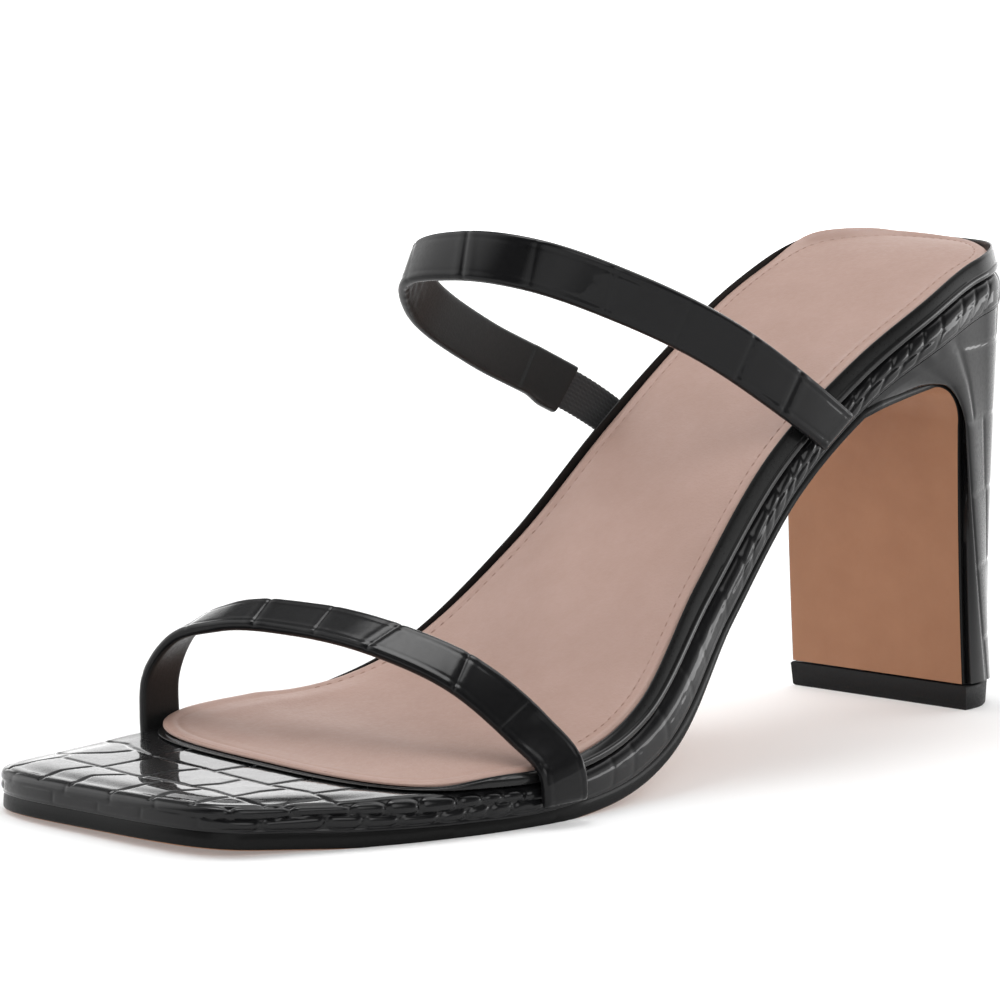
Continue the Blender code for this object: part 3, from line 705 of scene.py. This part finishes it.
def heel_front():
    """The heel's front line: u, z, the share of the top's plan and of the height at the back."""
    foot, head, root, tip = (np.array(HEEL_SHARES[k]) for k in ("foot", "head", "root", "tip"))
    t = np.linspace(0, 1, BREAST_STEPS + 1)[:, None]
    line = np.array(BREAST_FOOT) * (1 - t) + np.array(BREAST_HEAD) * t
    breast = np.hstack((line, foot + (head - foot) * np.hstack((t * t, t))))
    t = np.linspace(0, 1, FILLET_STEPS + 1)[1:, None]
    turn = np.radians(90 * t)
    line = np.array(BREAST_HEAD) + BREAST_FILLET * np.hstack((1 - np.cos(turn), np.sin(turn)))
    fillet = np.hstack((line, head + (root - head) * t))
    t = np.linspace(0, 1, LIP_STEPS + 1)[1:, None]
    line = fillet[-1, :2] * (1 - t) + np.array(LIP_TIP) * t
    return np.concatenate((breast, fillet, np.hstack((line, root + (tip - root) * t))))


def heel_foot_grid(inset, height):
    """The plan of the heel's foot from its front to its back, drawn in by inset all round."""
    turn = turns(0, LAST_FOOT_TURN, HEEL_ROWS)
    half = (HEEL_HALF - inset) * np.cos(turn) ** (2 / HEEL_POWER)
    reach = (HEEL_DEPTH - 2 * inset) * np.sin(turn) ** (2 / HEEL_POWER)
    x = across(HEEL_MID - half, HEEL_MID + half, HEEL_COLUMNS)
    along = (BREAST_FOOT[0] - inset - reach)[:, None] + HEEL_SKEW * (x - HEEL_MID)
    return join(x, along, np.full_like(x, height))


def heel_top_grid():
    """The heel's top face, just under the platform, from the lip's tip to the back."""
    straight = HEEL_ROWS // 2
    side = np.linspace(LIP_STATION, HEEL_CAP, straight + 1)[:-1]
    turn = np.linspace(90, LAST_TOP_TURN, HEEL_ROWS - straight)
    u = np.concatenate((side, heel_turn(HEEL_INSET, turn)))
    x = across(*outline(u, HEEL_INSET, WHOLE_PLAN), HEEL_COLUMNS)
    u = np.broadcast_to(u[:, None], x.shape)
    return place(u, x, platform_foot(u) + GAP)


def heel_layers():
    """Grids from the heel's foot to its top."""
    foot = heel_foot_grid(0.0, HEEL_FOOT)
    top = heel_top_grid()
    fade = clamp(1 - np.linspace(0, 1, HEEL_ROWS)[:, None] / SIDE_SHARE) ** 2
    tip_bank = top[0, :, 2] - top[0, :, 2].mean()
    layers = []
    for u, z, plan_share, back_share in heel_front():
        grid = foot + (top - foot) * back_share
        share = back_share + (plan_share - back_share) * fade
        grid[..., 0] = foot[..., 0] + (top[..., 0] - foot[..., 0]) * share
        front = grid[:1].copy()
        skew = HEEL_SKEW * (1 - plan_share)
        front[..., 1] = u + skew * (front[..., 0] - front[..., 0].mean())
        front[..., 2] = z + tip_bank * plan_share**2
        grid += (front - grid[:1]) * fade[..., None]
        layers.append(grid)
    return layers + [top]


def make_heel(materials):
    """Scaled cover of the heel block."""
    rings = np.array([edge_of(grid) for grid in heel_layers()])
    run = lengths(rings[len(rings) // 3][:, :2])
    along = np.broadcast_to(run, rings.shape[:2])
    rng = np.random.default_rng(HEEL_SEED)
    level = (rings[..., 2] - HEEL_SCALE_FOOT) / HEEL_SCALE_HEIGHT
    level = level + HEEL_WAVE * np.sin(along / HEEL_WAVE_LENGTH)
    ends = np.full(level.shape, np.inf)
    for k in HEEL_SCALE_ROWS:
        bounds = walk_bounds(run[-1], lambda _: HEEL_SCALE_LENGTH, rng)
        bounds = bounds - rng.uniform(0, HEEL_SCALE_LENGTH)
        ends = np.where(np.floor(level) == k, bound_distance(along, bounds), ends)
    rows = np.abs(level - np.round(level)) * HEEL_SCALE_HEIGHT
    corner = np.minimum(np.abs(along - run[HEEL_COLUMNS - 1]), run[-1] - along)
    behind = ease(corner, BORDER_SHARE * HEEL_BORDER, HEEL_BORDER)
    gap = np.minimum(ends, rows) / np.maximum(behind, LEAST_BEHIND)
    gap = np.minimum(gap, np.abs(corner - HEEL_BORDER))
    relief = trough(gap, HEEL_GROOVE_WIDTH, HEEL_GROOVE_DEPTH, HEEL_PILLOW)
    relief *= ease(corner, *HEEL_EDGE_FADE)
    relief[:, :HEEL_COLUMNS] = 0.0
    skin = Skin()
    skin.add_tube(rings, ladder_faces(HEEL_ROWS, HEEL_COLUMNS), relief)
    make_piece("heel_cover", skin, materials, "heel")


def make_top_piece(materials):
    """Top piece under the heel with worn-round edges."""
    low_inset = TOP_PIECE_TAPER + TOP_PIECE_EDGE
    levels = ((TOP_PIECE_EDGE, TOP_PIECE), (0.0, TOP_PIECE - TOP_PIECE_EDGE),
              (TOP_PIECE_TAPER, TOP_PIECE_EDGE), (low_inset, 0.0))
    rings = []
    for inset, height in levels:
        grid = heel_foot_grid(inset, height)
        grid[..., 1] += (FLAP_THICK + GAP) * np.linspace(1, 0, HEEL_ROWS)[:, None]
        rings.append(edge_of(grid))
    skin = Skin()
    skin.add_tube(np.array(rings), ladder_faces(HEEL_ROWS, HEEL_COLUMNS))
    make_piece("heel_top_piece", skin, materials, "top_piece")


def flap_rows(inset):
    """Rows of the outsole on the heel's breast and lip: u, z, edges, tilt, skew and thickness."""
    foot = heel_foot_grid(0.0, HEEL_FOOT)[0]
    tip = heel_top_grid()[0]
    tilt = (tip[-1, 2] - tip[0, 2]) / (tip[-1, 0] - tip[0, 0])
    lip_thick = section([LIP_STATION])["sole"][0]
    u, z, share, _ = heel_front().T
    low, high = (foot[c, 0] + (tip[c, 0] - foot[c, 0]) * share for c in (0, -1))
    lip = share**3
    low += FLAP_INNER_MARGIN * (1 - lip) + (OUTSOLE_INSET - HEEL_INSET) * lip + inset
    high -= FLAP_OUTER_MARGIN * (1 - lip) + (OUTSOLE_INSET - HEEL_INSET) * lip + inset
    thick = FLAP_THICK + (lip_thick - FLAP_THICK) * share**2
    return join(u, z, low, high, tilt * share**2, HEEL_SKEW * (1 - share), thick)


def sole_grid(inset, depth_share):
    """A grid below the sole line, at a share of the outsole's thickness, flat on the floor."""
    inset_here = OUTSOLE_INSET + inset
    u = stations(inset_here, WHOLE_PLAN, MEDIUM_STEPS)
    u = u[u > SOLE_STATION]
    low, high = outline(u, inset_here, WHOLE_PLAN)
    edge_u = join(u, u)
    edge = place(edge_u, join(low, high), platform_foot(edge_u))
    middle = edge.mean(axis=1)
    span = edge[:, 1] - edge[:, 0]
    tilt, skew = span[:, 2] / span[:, 0], span[:, 1] / span[:, 0]
    columns = (middle[:, 1], middle[:, 2], low, high, tilt, skew, section(u)["sole"])
    forward = toe_bend(u, across(low, high, SOLE_COLUMNS), inset_here, WHOLE_PLAN)
    flap = flap_rows(inset)
    rows = np.concatenate((flap, join(*columns)))
    bend = np.concatenate((np.zeros((len(flap), SOLE_COLUMNS)), forward))
    u, z, low, high, tilt, skew, thick = rows.T[:, :, None]
    run = one_long(np.gradient(np.concatenate((u, z), axis=1), axis=0))
    depth = GAP + depth_share * thick
    x = across(low[:, 0], high[:, 0], SOLE_COLUMNS)
    off = x - x.mean(axis=1, keepdims=True)
    along = u + run[:, 1:] * depth + skew * off + bend
    height = np.maximum(z - run[:, :1] * depth + tilt * off, 0.0)
    height[0] = HEEL_FOOT
    return join(x, along, height)


def make_outsole(materials):
    """Outsole with a black inked edge, turned down over the heel's breast as a flap."""
    profile = list(EDGE_START)
    for turn in turns(0, 90, EDGE_STEPS):
        share = EDGE_TURN + (1 - EDGE_TURN) * np.sin(turn)
        profile.append((OUTSOLE_ROUND * (1 - np.cos(turn)), share))
    grids = [sole_grid(*ring) for ring in profile]
    rings = np.array([edge_of(grid) for grid in grids])
    skin = Skin()
    skin.add_rings(rings[:-2], slot=1)
    skin.add_rings(rings[-3:])
    skin.add_grid(grids[-1])
    skin.add(rings[0], ladder_faces(*grids[0].shape[:2]), slot=1)
    make_piece("outsole_sheet", skin, materials, "outsole")


# Straps

# Cross grooves of the straps: place along the strap, slant and depth
STRAP_GROOVES = {
    "toe_strap": ((15.0, 0.1, 0.06), (30.0, -0.1, 0.06), (45.6, 0.11, 0.15), (60.0, 0.1, 0.07),
                  (74.2, -0.26, 0.15), (92.1, 0.38, 0.17), (106.0, 0.1, 0.06), (117.0, 0.0, 0.05)),
    "instep_strap": ((27.0, 0.1, 0.06), (40.0, -0.1, 0.06), (55.0, 0.1, 0.08), (70.0, 0.2, 0.06),
                     (84.5, 0.18, 0.16), (99.0, 0.1, 0.1), (114.0, 0.15, 0.13), (130.0, 0.1, 0.09),
                     (145.0, 0.16, 0.19), (157.5, 0.19, 0.19)),
}
STRAP_STEPS, END_STEPS, FACE_FROM = 430, 8, 0.2
STRAP_GROOVE_WIDTH, STRAP_PILLOW, PILLOW_AT, PILLOW_WIDTH = 0.4, 0.4, 1.5, 0.9
FOLD_INSET, FOLD_DEPTH, FOLD_WIDTH = 1.7, 0.04, 0.35
END_ROUND, END_FOLD, END_THINNING = 1.6, 2.6, 0.95
# The instep strap's inner end, folded over the elastic, and the creases inside its bend
TURN_BACK, TURN_BACK_RISE, TURN_BACK_FLARE, FLARE_FADE = (10.1, 10.6), 0.22, 0.8, (3.2, 8.0)
CREASE_AT, CREASE_REACH, CREASE_PITCH, CREASE_DEPTH = 68.0, 7.0, 2.3, 0.14
CREASE_SLANT, CREASE_WAVER = 0.3, 1.7
# The toe strap's outer foot spreads forward
FOOT_SPREAD, FOOT_LENGTH = 1.2, 16.0
GORE_RIB, GORE_WEFT, GORE_RELIEF, GORE_STEPS, GORE_COLUMNS = 0.86, 1.2, 0.1, 100, 81


def strap_line(table, at):
    """Middle, width direction and outward normal of a strap at lengths along it."""
    rows = through(lengths(table[:, :3]), table, at)
    middle = rows[:, :3]
    wide = one_long(rows[:, 3:])
    return middle, wide, one_long(np.cross(np.gradient(middle, axis=0), wide))


def strap_section(width, thick, rounding, upper=41, edge=9, under=15):
    """Places across and up of a strap's section, from one upper edge round and back."""
    half, deep = width / 2 - rounding, thick / 2
    turn = turns(90, -90, edge + 2)[1:-1]
    over = [(x, deep) for x in np.linspace(-half, half, upper)]
    right = join(half + rounding * np.cos(turn), deep * np.sin(turn))
    below = [(x, -deep) for x in np.linspace(half, -half, under)]
    return np.concatenate((over, right, below, -right))


def strap_relief(name, at, shape, width):
    """Cross grooves between the strap's scales and the lines of its turned edges."""
    along, sideways = np.broadcast_arrays(at[:, None], shape[:, 0])
    relief = np.zeros(along.shape)
    for groove_at, slant, depth in STRAP_GROOVES[name]:
        away = np.abs(along - groove_at - slant * sideways)
        relief -= depth * bell(away, STRAP_GROOVE_WIDTH)
        relief += STRAP_PILLOW * depth * bell(away - PILLOW_AT, PILLOW_WIDTH)
    fold = np.abs(np.abs(sideways) - (width / 2 - FOLD_INSET))
    fold = np.minimum(fold, np.abs(at[-1] - along - END_FOLD))
    relief -= FOLD_DEPTH * bell(fold, FOLD_WIDTH)
    relief *= ease(shape[:, 1], FACE_FROM, STRAP_THICK / 2)
    if name == "instep_strap":
        crease = np.cos(2 * np.pi * (along + CREASE_SLANT * sideways) / CREASE_PITCH)
        crease = crease + np.sin(along + CREASE_WAVER * sideways)
        lining = TURN_BACK_RISE * (1 - ease(along - at[0], *TURN_BACK))
        lining = lining + CREASE_DEPTH * crease * bell(along - CREASE_AT, CREASE_REACH)
        relief += ease(-shape[:, 1], FACE_FROM, STRAP_THICK / 2) * lining
    return relief


def strap_spread(name, at):
    """How far the strap's lower or front edge stands out beyond its even width."""
    if name == "toe_strap":
        return FOOT_SPREAD * ease(at, at[-1] - FOOT_LENGTH, at[-1])
    return TURN_BACK_FLARE * (1 - ease(at - at[0], *FLARE_FADE))


def make_strap(name, table, width, materials, start=0.0):
    """One strap: turned edges, scales across and a plain lining."""
    end = lengths(table[:, :3])[-1]
    body = np.linspace(start, end - END_ROUND, STRAP_STEPS)
    at = np.concatenate((body, np.linspace(end - END_ROUND, end, END_STEPS)[1:]))
    middle, wide, out = strap_line(table, at)
    shape = strap_section(width, STRAP_THICK, STRAP_ROUND)
    near_end = clamp(1 - (end - at) / END_ROUND)
    deep = np.sqrt(1 - END_THINNING * near_end**2)
    sideways = shape[:, 0] + strap_spread(name, at)[:, None] * ease(shape[:, 0], 0.0, width / 2)
    rings = middle[:, None] + wide[:, None] * sideways[..., None]
    rings = rings + out[:, None] * (deep[:, None] * shape[:, 1])[..., None]
    skin = Skin()
    skin.add_tube(rings, [range(len(shape))], strap_relief(name, at, shape, width))
    faces = grid_faces(*rings.shape[:2], wrap=True)
    lining = shape[faces[:, 0] % len(shape), 1] <= -STRAP_THICK / 4
    skin.slots[:len(faces)] = lining.astype(int).tolist()
    make_piece(name + "_leather", skin, materials, name)


def make_gore(materials):
    """Short woven elastic under the instep strap's inner end."""
    at = np.linspace(0.0, GORE_LENGTH, GORE_STEPS)
    middle, wide, out = strap_line(INSTEP_STRAP, at)
    shape = strap_section(GORE_WIDTH, GORE_THICK, GORE_ROUND, upper=GORE_COLUMNS, under=GORE_COLUMNS)
    rings = middle[:, None] + wide[:, None] * shape[:, :1] + out[:, None] * shape[:, 1:]
    rib = np.cos(2 * np.pi * shape[:, 0] / GORE_RIB)
    weft = np.cos(2 * np.pi * at / GORE_WEFT)[:, None]
    skin = Skin()
    skin.add_tube(rings, [range(len(shape))], GORE_RELIEF * rib * (0.5 + 0.5 * weft))
    make_piece("elastic_web", skin, materials, "elastic_gore")


# Materials

TEXTURE_ENDS = (0.3, 0.7)       # the range in which a texture's values mostly lie


def add_node(tree, kind, output, inputs, **settings):
    """New node with its settings and inputs, each a value or another node's output."""
    node = tree.nodes.new("ShaderNode" + kind)
    for name, value in settings.items():
        setattr(node, name, value)
    for socket, value in inputs.items():
        if isinstance(value, bpy.types.NodeSocket):
            tree.links.new(value, node.inputs[socket])
        else:
            node.inputs[socket].default_value = value
    return node.outputs[output]


def spread(tree, value, ends, **settings):
    """Map a value between two ends onto two others."""
    named = dict(zip(("From Min", "From Max", "To Min", "To Max"), ends))
    return add_node(tree, "MapRange", "Result", {"Value": value, **named}, **settings)


class Shader:
    """A material's node tree with its main shader."""

    def __init__(self, name, colour, roughness, **sockets):
        self.name = name
        self.material = bpy.data.materials.new(name)
        self.material.use_nodes = True
        self.tree = self.material.node_tree
        self.main = self.tree.nodes["Principled BSDF"]
        self.set("Base Color", (*colour, 1.0))
        self.set("Roughness", roughness)
        for socket, value in sockets.items():
            self.set(socket.replace("_", " ").title().replace("Ior", "IOR"), value)
        self.coordinates = add_node(self.tree, "TexCoord", "Object", {})

    def set(self, socket, value):
        self.main.inputs[socket].default_value = value

    def link(self, output, socket):
        self.tree.links.new(output, self.main.inputs[socket])

    def noise(self, size, detail=3.0):
        """Noise whose features are about size millimetres across."""
        inputs = {"Vector": self.coordinates, "Scale": 1 / (size * MM), "Detail": detail}
        return add_node(self.tree, "TexNoise", "Fac", inputs)

    def cells(self, size):
        """Cells about size millimetres across."""
        inputs = {"Vector": self.coordinates, "Scale": 1 / (size * MM)}
        return add_node(self.tree, "TexVoronoi", "Distance", inputs)

    def ramp(self, value, *colours):
        """Colour between two ends by a texture's value."""
        node = self.tree.nodes.new("ShaderNodeValToRGB")
        for element, at, colour in zip(node.color_ramp.elements, TEXTURE_ENDS, colours):
            element.position = at
            element.color = (*colour, 1.0)
        self.tree.links.new(value, node.inputs["Fac"])
        self.link(node.outputs["Color"], "Base Color")

    def rough(self, size, low, high):
        """Roughness between two ends by a noise."""
        self.link(spread(self.tree, self.noise(size), (*TEXTURE_ENDS, low, high)), "Roughness")

    def bump(self, value, height, socket="Normal"):
        """Bump whose full height is given in millimetres."""
        inputs = {"Height": value, "Distance": height * MM, "Strength": 1.0}
        self.link(add_node(self.tree, "Bump", "Normal", inputs), socket)


def patent(name, coat_ior):
    """Black patent leather: a dark base under a clear wet coat with a slight ripple."""
    shader = Shader(name, (0.006, 0.006, 0.0065), 0.35, specular_ior_level=0.06, coat_weight=1.0,
                    coat_roughness=0.04, coat_ior=coat_ior)
    shader.rough(0.8, 0.3, 0.5)
    shader.bump(shader.noise(0.5, 4.0), 0.01)
    shader.bump(shader.noise(4.0, 2.0), 0.03, socket="Coat Normal")
    return shader


def make_materials():
    """All finishes by name."""
    rim = Shader("rim_black", (0.006, 0.006, 0.006), 0.35, specular_ior_level=0.1, coat_weight=0.9,
                 coat_roughness=0.07, coat_ior=1.3)
    rim.rough(0.6, 0.26, 0.42)
    rim.bump(rim.noise(0.35, 4.0), 0.012)
    sock = Shader("sock_leather", (0.38, 0.243, 0.198), 0.5, coat_weight=0.15, coat_roughness=0.35)
    sock.ramp(sock.noise(9.0, 5.0), (0.368, 0.234, 0.189), (0.395, 0.256, 0.211))
    sock.rough(1.2, 0.5, 0.64)
    sock.bump(sock.cells(0.55), 0.035)
    thread = Shader("thread", (0.32, 0.195, 0.155), 0.7)
    thread.rough(0.3, 0.6, 0.8)
    thread.bump(thread.noise(0.15), 0.03)
    tan = Shader("sole_tan", (0.349, 0.172, 0.094), 0.5, specular_ior_level=0.3)
    tan.ramp(tan.noise(7.0, 6.0), (0.335, 0.163, 0.088), (0.363, 0.182, 0.1))
    tan.rough(1.0, 0.45, 0.6)
    tan.bump(tan.noise(0.3, 4.0), 0.015)
    ink = Shader("edge_ink", (0.005, 0.005, 0.005), 0.35, specular_ior_level=0.06, coat_weight=0.3,
                 coat_roughness=0.12, coat_ior=1.3)
    ink.rough(0.7, 0.34, 0.5)
    ink.bump(ink.noise(0.4), 0.02)
    rubber = Shader("top_rubber", (0.007, 0.007, 0.0075), 0.45, specular_ior_level=0.18)
    rubber.rough(0.5, 0.42, 0.6)
    rubber.bump(rubber.noise(0.25, 4.0), 0.02)
    lining = Shader("strap_lining", (0.008, 0.008, 0.008), 0.45, specular_ior_level=0.3, coat_weight=0.2,
                    coat_roughness=0.25)
    lining.rough(0.6, 0.4, 0.55)
    lining.bump(lining.cells(0.4), 0.025)
    web = Shader("elastic", (0.022, 0.022, 0.023), 0.7, sheen_weight=0.3, sheen_roughness=0.4)
    web.rough(0.3, 0.65, 0.85)
    web.bump(web.noise(0.2), 0.04)
    shaders = (rim, sock, thread, tan, ink, rubber, lining, web, patent("patent_scales", 1.3),
               patent("patent_straps", 1.24))
    return {shader.name: shader.material for shader in shaders}


# Stage

FLOOR_CORE, FLOOR_FLAT, FLOOR_RIM, FLOOR_RISE, FLOOR_SIDES = 0.02, 3.0, 14.0, 0.6, 96
FLOOR_COLOUR, FLOOR_ROUGHNESS, FLAT_RINGS, RISE_RINGS = (0.78, 0.78, 0.78), 0.8, 12, 24
AWAY = (-np.sin(np.radians(CAMERA_AZIMUTH)), np.cos(np.radians(CAMERA_AZIMUTH)), 0.0)
WHITE = (1.0, 1.0, 1.0, 1.0)
# Glows: two ends of a length or of a direction's part along an axis, and the brightness at both
GLOW_HEIGHT = (0.2, 0.5, 1.0, 0.1)
GLOW_AXIS = (-0.25, 0.97, 0.0)
GLOW_SIDE = (0.1, 0.9, 0.3, 1.9)
FLOOR_GLOW = (0.3, 1.6, 0.25, 0.8)
FLOOR_SIDE = (-1.0, 0.6, 0.45, 1.0)
# Soft round glows of the surroundings: direction of the middle, and the ends as above
ROUND_GLOWS = {
    "top": ((-0.25, 0.05, 0.97), (0.95, 1.0, 0.0, 7.0)),
    "back_top": ((-0.05, 0.60, 0.80), (0.80, 1.0, 0.0, 2.2)),
    "front_left": ((-0.75, -0.45, 0.48), (0.72, 0.98, 0.0, 1.9)),
    "front_right": ((0.64, -0.74, 0.20), (0.82, 1.0, 0.0, 1.1)),
    "right": ((0.75, -0.16, 0.64), (0.90, 1.0, 0.0, 3.0)),
}
STRIP_PLACE, STRIP_TARGET = (0.42, 0.75, 0.09), (0.04, 0.0, 0.04)
STRIP_SIZE, STRIP_POWER = (0.5, 0.12), 0.9


def axis_glow(tree, vector, axis, ends):
    """Brightness that changes smoothly between two ends of a vector's part along an axis."""
    part = add_node(tree, "VectorMath", "Value", {0: vector, 1: axis}, operation="DOT_PRODUCT")
    return spread(tree, part, ends, interpolation_type="SMOOTHSTEP")


def combine(tree, operation, first, second):
    """Sum or product of two values."""
    return add_node(tree, "Math", "Value", {0: first, 1: second}, operation=operation)


def floor_paint():
    """Pale paint with a glow that grows with the distance, so the background stays pale."""
    paint = Shader("floor_paint", FLOOR_COLOUR, FLOOR_ROUGHNESS, specular_ior_level=0.0)
    tree = paint.tree
    length = add_node(tree, "VectorMath", "Value", {0: paint.coordinates}, operation="LENGTH")
    glow = spread(tree, length, FLOOR_GLOW, interpolation_type="SMOOTHSTEP")
    side = axis_glow(tree, paint.coordinates, AWAY, FLOOR_SIDE)
    paint.set("Emission Color", WHITE)
    paint.link(combine(tree, "MULTIPLY", glow, side), "Emission Strength")
    return paint.material


def make_floor():
    """Pale round floor whose far rim sweeps up into the background."""
    flat = np.linspace(FLOOR_CORE, FLOOR_FLAT, FLAT_RINGS)
    radii = np.concatenate((flat, np.linspace(FLOOR_FLAT, FLOOR_RIM, RISE_RINGS)[1:]))
    height = FLOOR_RISE * clamp((radii - FLOOR_FLAT) / (FLOOR_RIM - FLOOR_FLAT)) ** 2
    turn = np.linspace(0, 2 * np.pi, FLOOR_SIDES, endpoint=False)
    radii, height, turn = np.broadcast_arrays(radii[:, None], height[:, None], turn)
    rings = join(radii * np.cos(turn), radii * np.sin(turn), height)
    faces = grid_faces(*turn.shape, wrap=True)[:, ::-1].tolist() + [list(range(FLOOR_SIDES))]
    mesh = bpy.data.meshes.new("floor")
    mesh.from_pydata(rings.reshape(-1, 3), [], faces)
    mesh.shade_smooth()
    mesh.materials.append(floor_paint())
    floor = add_object("floor", mesh)


def make_world():
    """Studio surroundings: bright low behind the shoe, with soft round glows elsewhere."""
    world = bpy.data.worlds.new("studio")
    world.use_nodes = True
    tree = world.node_tree
    direction = add_node(tree, "TexCoord", "Generated", {})
    height = axis_glow(tree, direction, UP, GLOW_HEIGHT)
    glow = combine(tree, "MULTIPLY", height, axis_glow(tree, direction, GLOW_AXIS, GLOW_SIDE))
    for axis, ends in ROUND_GLOWS.values():
        glow = combine(tree, "ADD", glow, axis_glow(tree, direction, axis, ends))
    background = tree.nodes["Background"]
    tree.links.new(glow, background.inputs["Strength"])
    background.inputs["Color"].default_value = WHITE
    bpy.context.scene.world = world


def make_strip_light():
    """A low strip behind the shoe's outer side, for the long streak on the platform's side."""
    light = bpy.data.lights.new("back_strip", "AREA")
    light.shape = "RECTANGLE"
    light.size, light.size_y = STRIP_SIZE
    light.energy = STRIP_POWER
    lamp = add_object("back_strip", light)
    lamp.location = STRIP_PLACE
    direction = Vector(STRIP_TARGET) - Vector(STRIP_PLACE)
    lamp.rotation_euler = direction.to_track_quat("-Z", "Y").to_euler()


def make_camera():
    """Camera with the photograph's direction, roll and distance."""
    turn, rise, roll = np.radians((CAMERA_AZIMUTH, CAMERA_ELEVATION, CAMERA_ROLL))
    back = Vector((np.sin(turn) * np.cos(rise), -np.cos(turn) * np.cos(rise), np.sin(rise)))
    right = Vector((np.cos(turn), np.sin(turn), 0.0))
    up = back.cross(right)
    data = bpy.data.cameras.new("camera")
    data.lens, data.sensor_width = CAMERA_LENS, CAMERA_SENSOR
    camera = add_object("camera", data)
    spot = Vector(to_frame(CAMERA_TARGET)) + back * CAMERA_DISTANCE * MM
    axes = Matrix((right, up, back)).transposed().to_4x4()
    camera.matrix_world = Matrix.Translation(spot) @ axes @ Matrix.Rotation(-roll, 4, "Z")
    bpy.context.scene.camera = camera


def main():
    bpy.context.scene.view_settings.view_transform = "Standard"
    make_camera()
    finish = make_materials()
    make_platform([finish["patent_scales"]])
    make_insole([finish["rim_black"]])
    sock = make_sock([finish["sock_leather"]])
    make_stitches(sock, [finish["thread"]])
    make_outsole([finish["sole_tan"], finish["edge_ink"]])
    make_heel([finish["patent_scales"]])
    make_top_piece([finish["top_rubber"]])
    leather = [finish["patent_straps"], finish["strap_lining"]]
    make_strap("toe_strap", TOE_STRAP, TOE_STRAP_WIDTH, leather)
    make_strap("instep_strap", INSTEP_STRAP, INSTEP_STRAP_WIDTH, leather, start=GORE_LENGTH + GAP)
    make_gore([finish["elastic"]])
    make_floor()
    make_world()
    make_strip_light()


main()
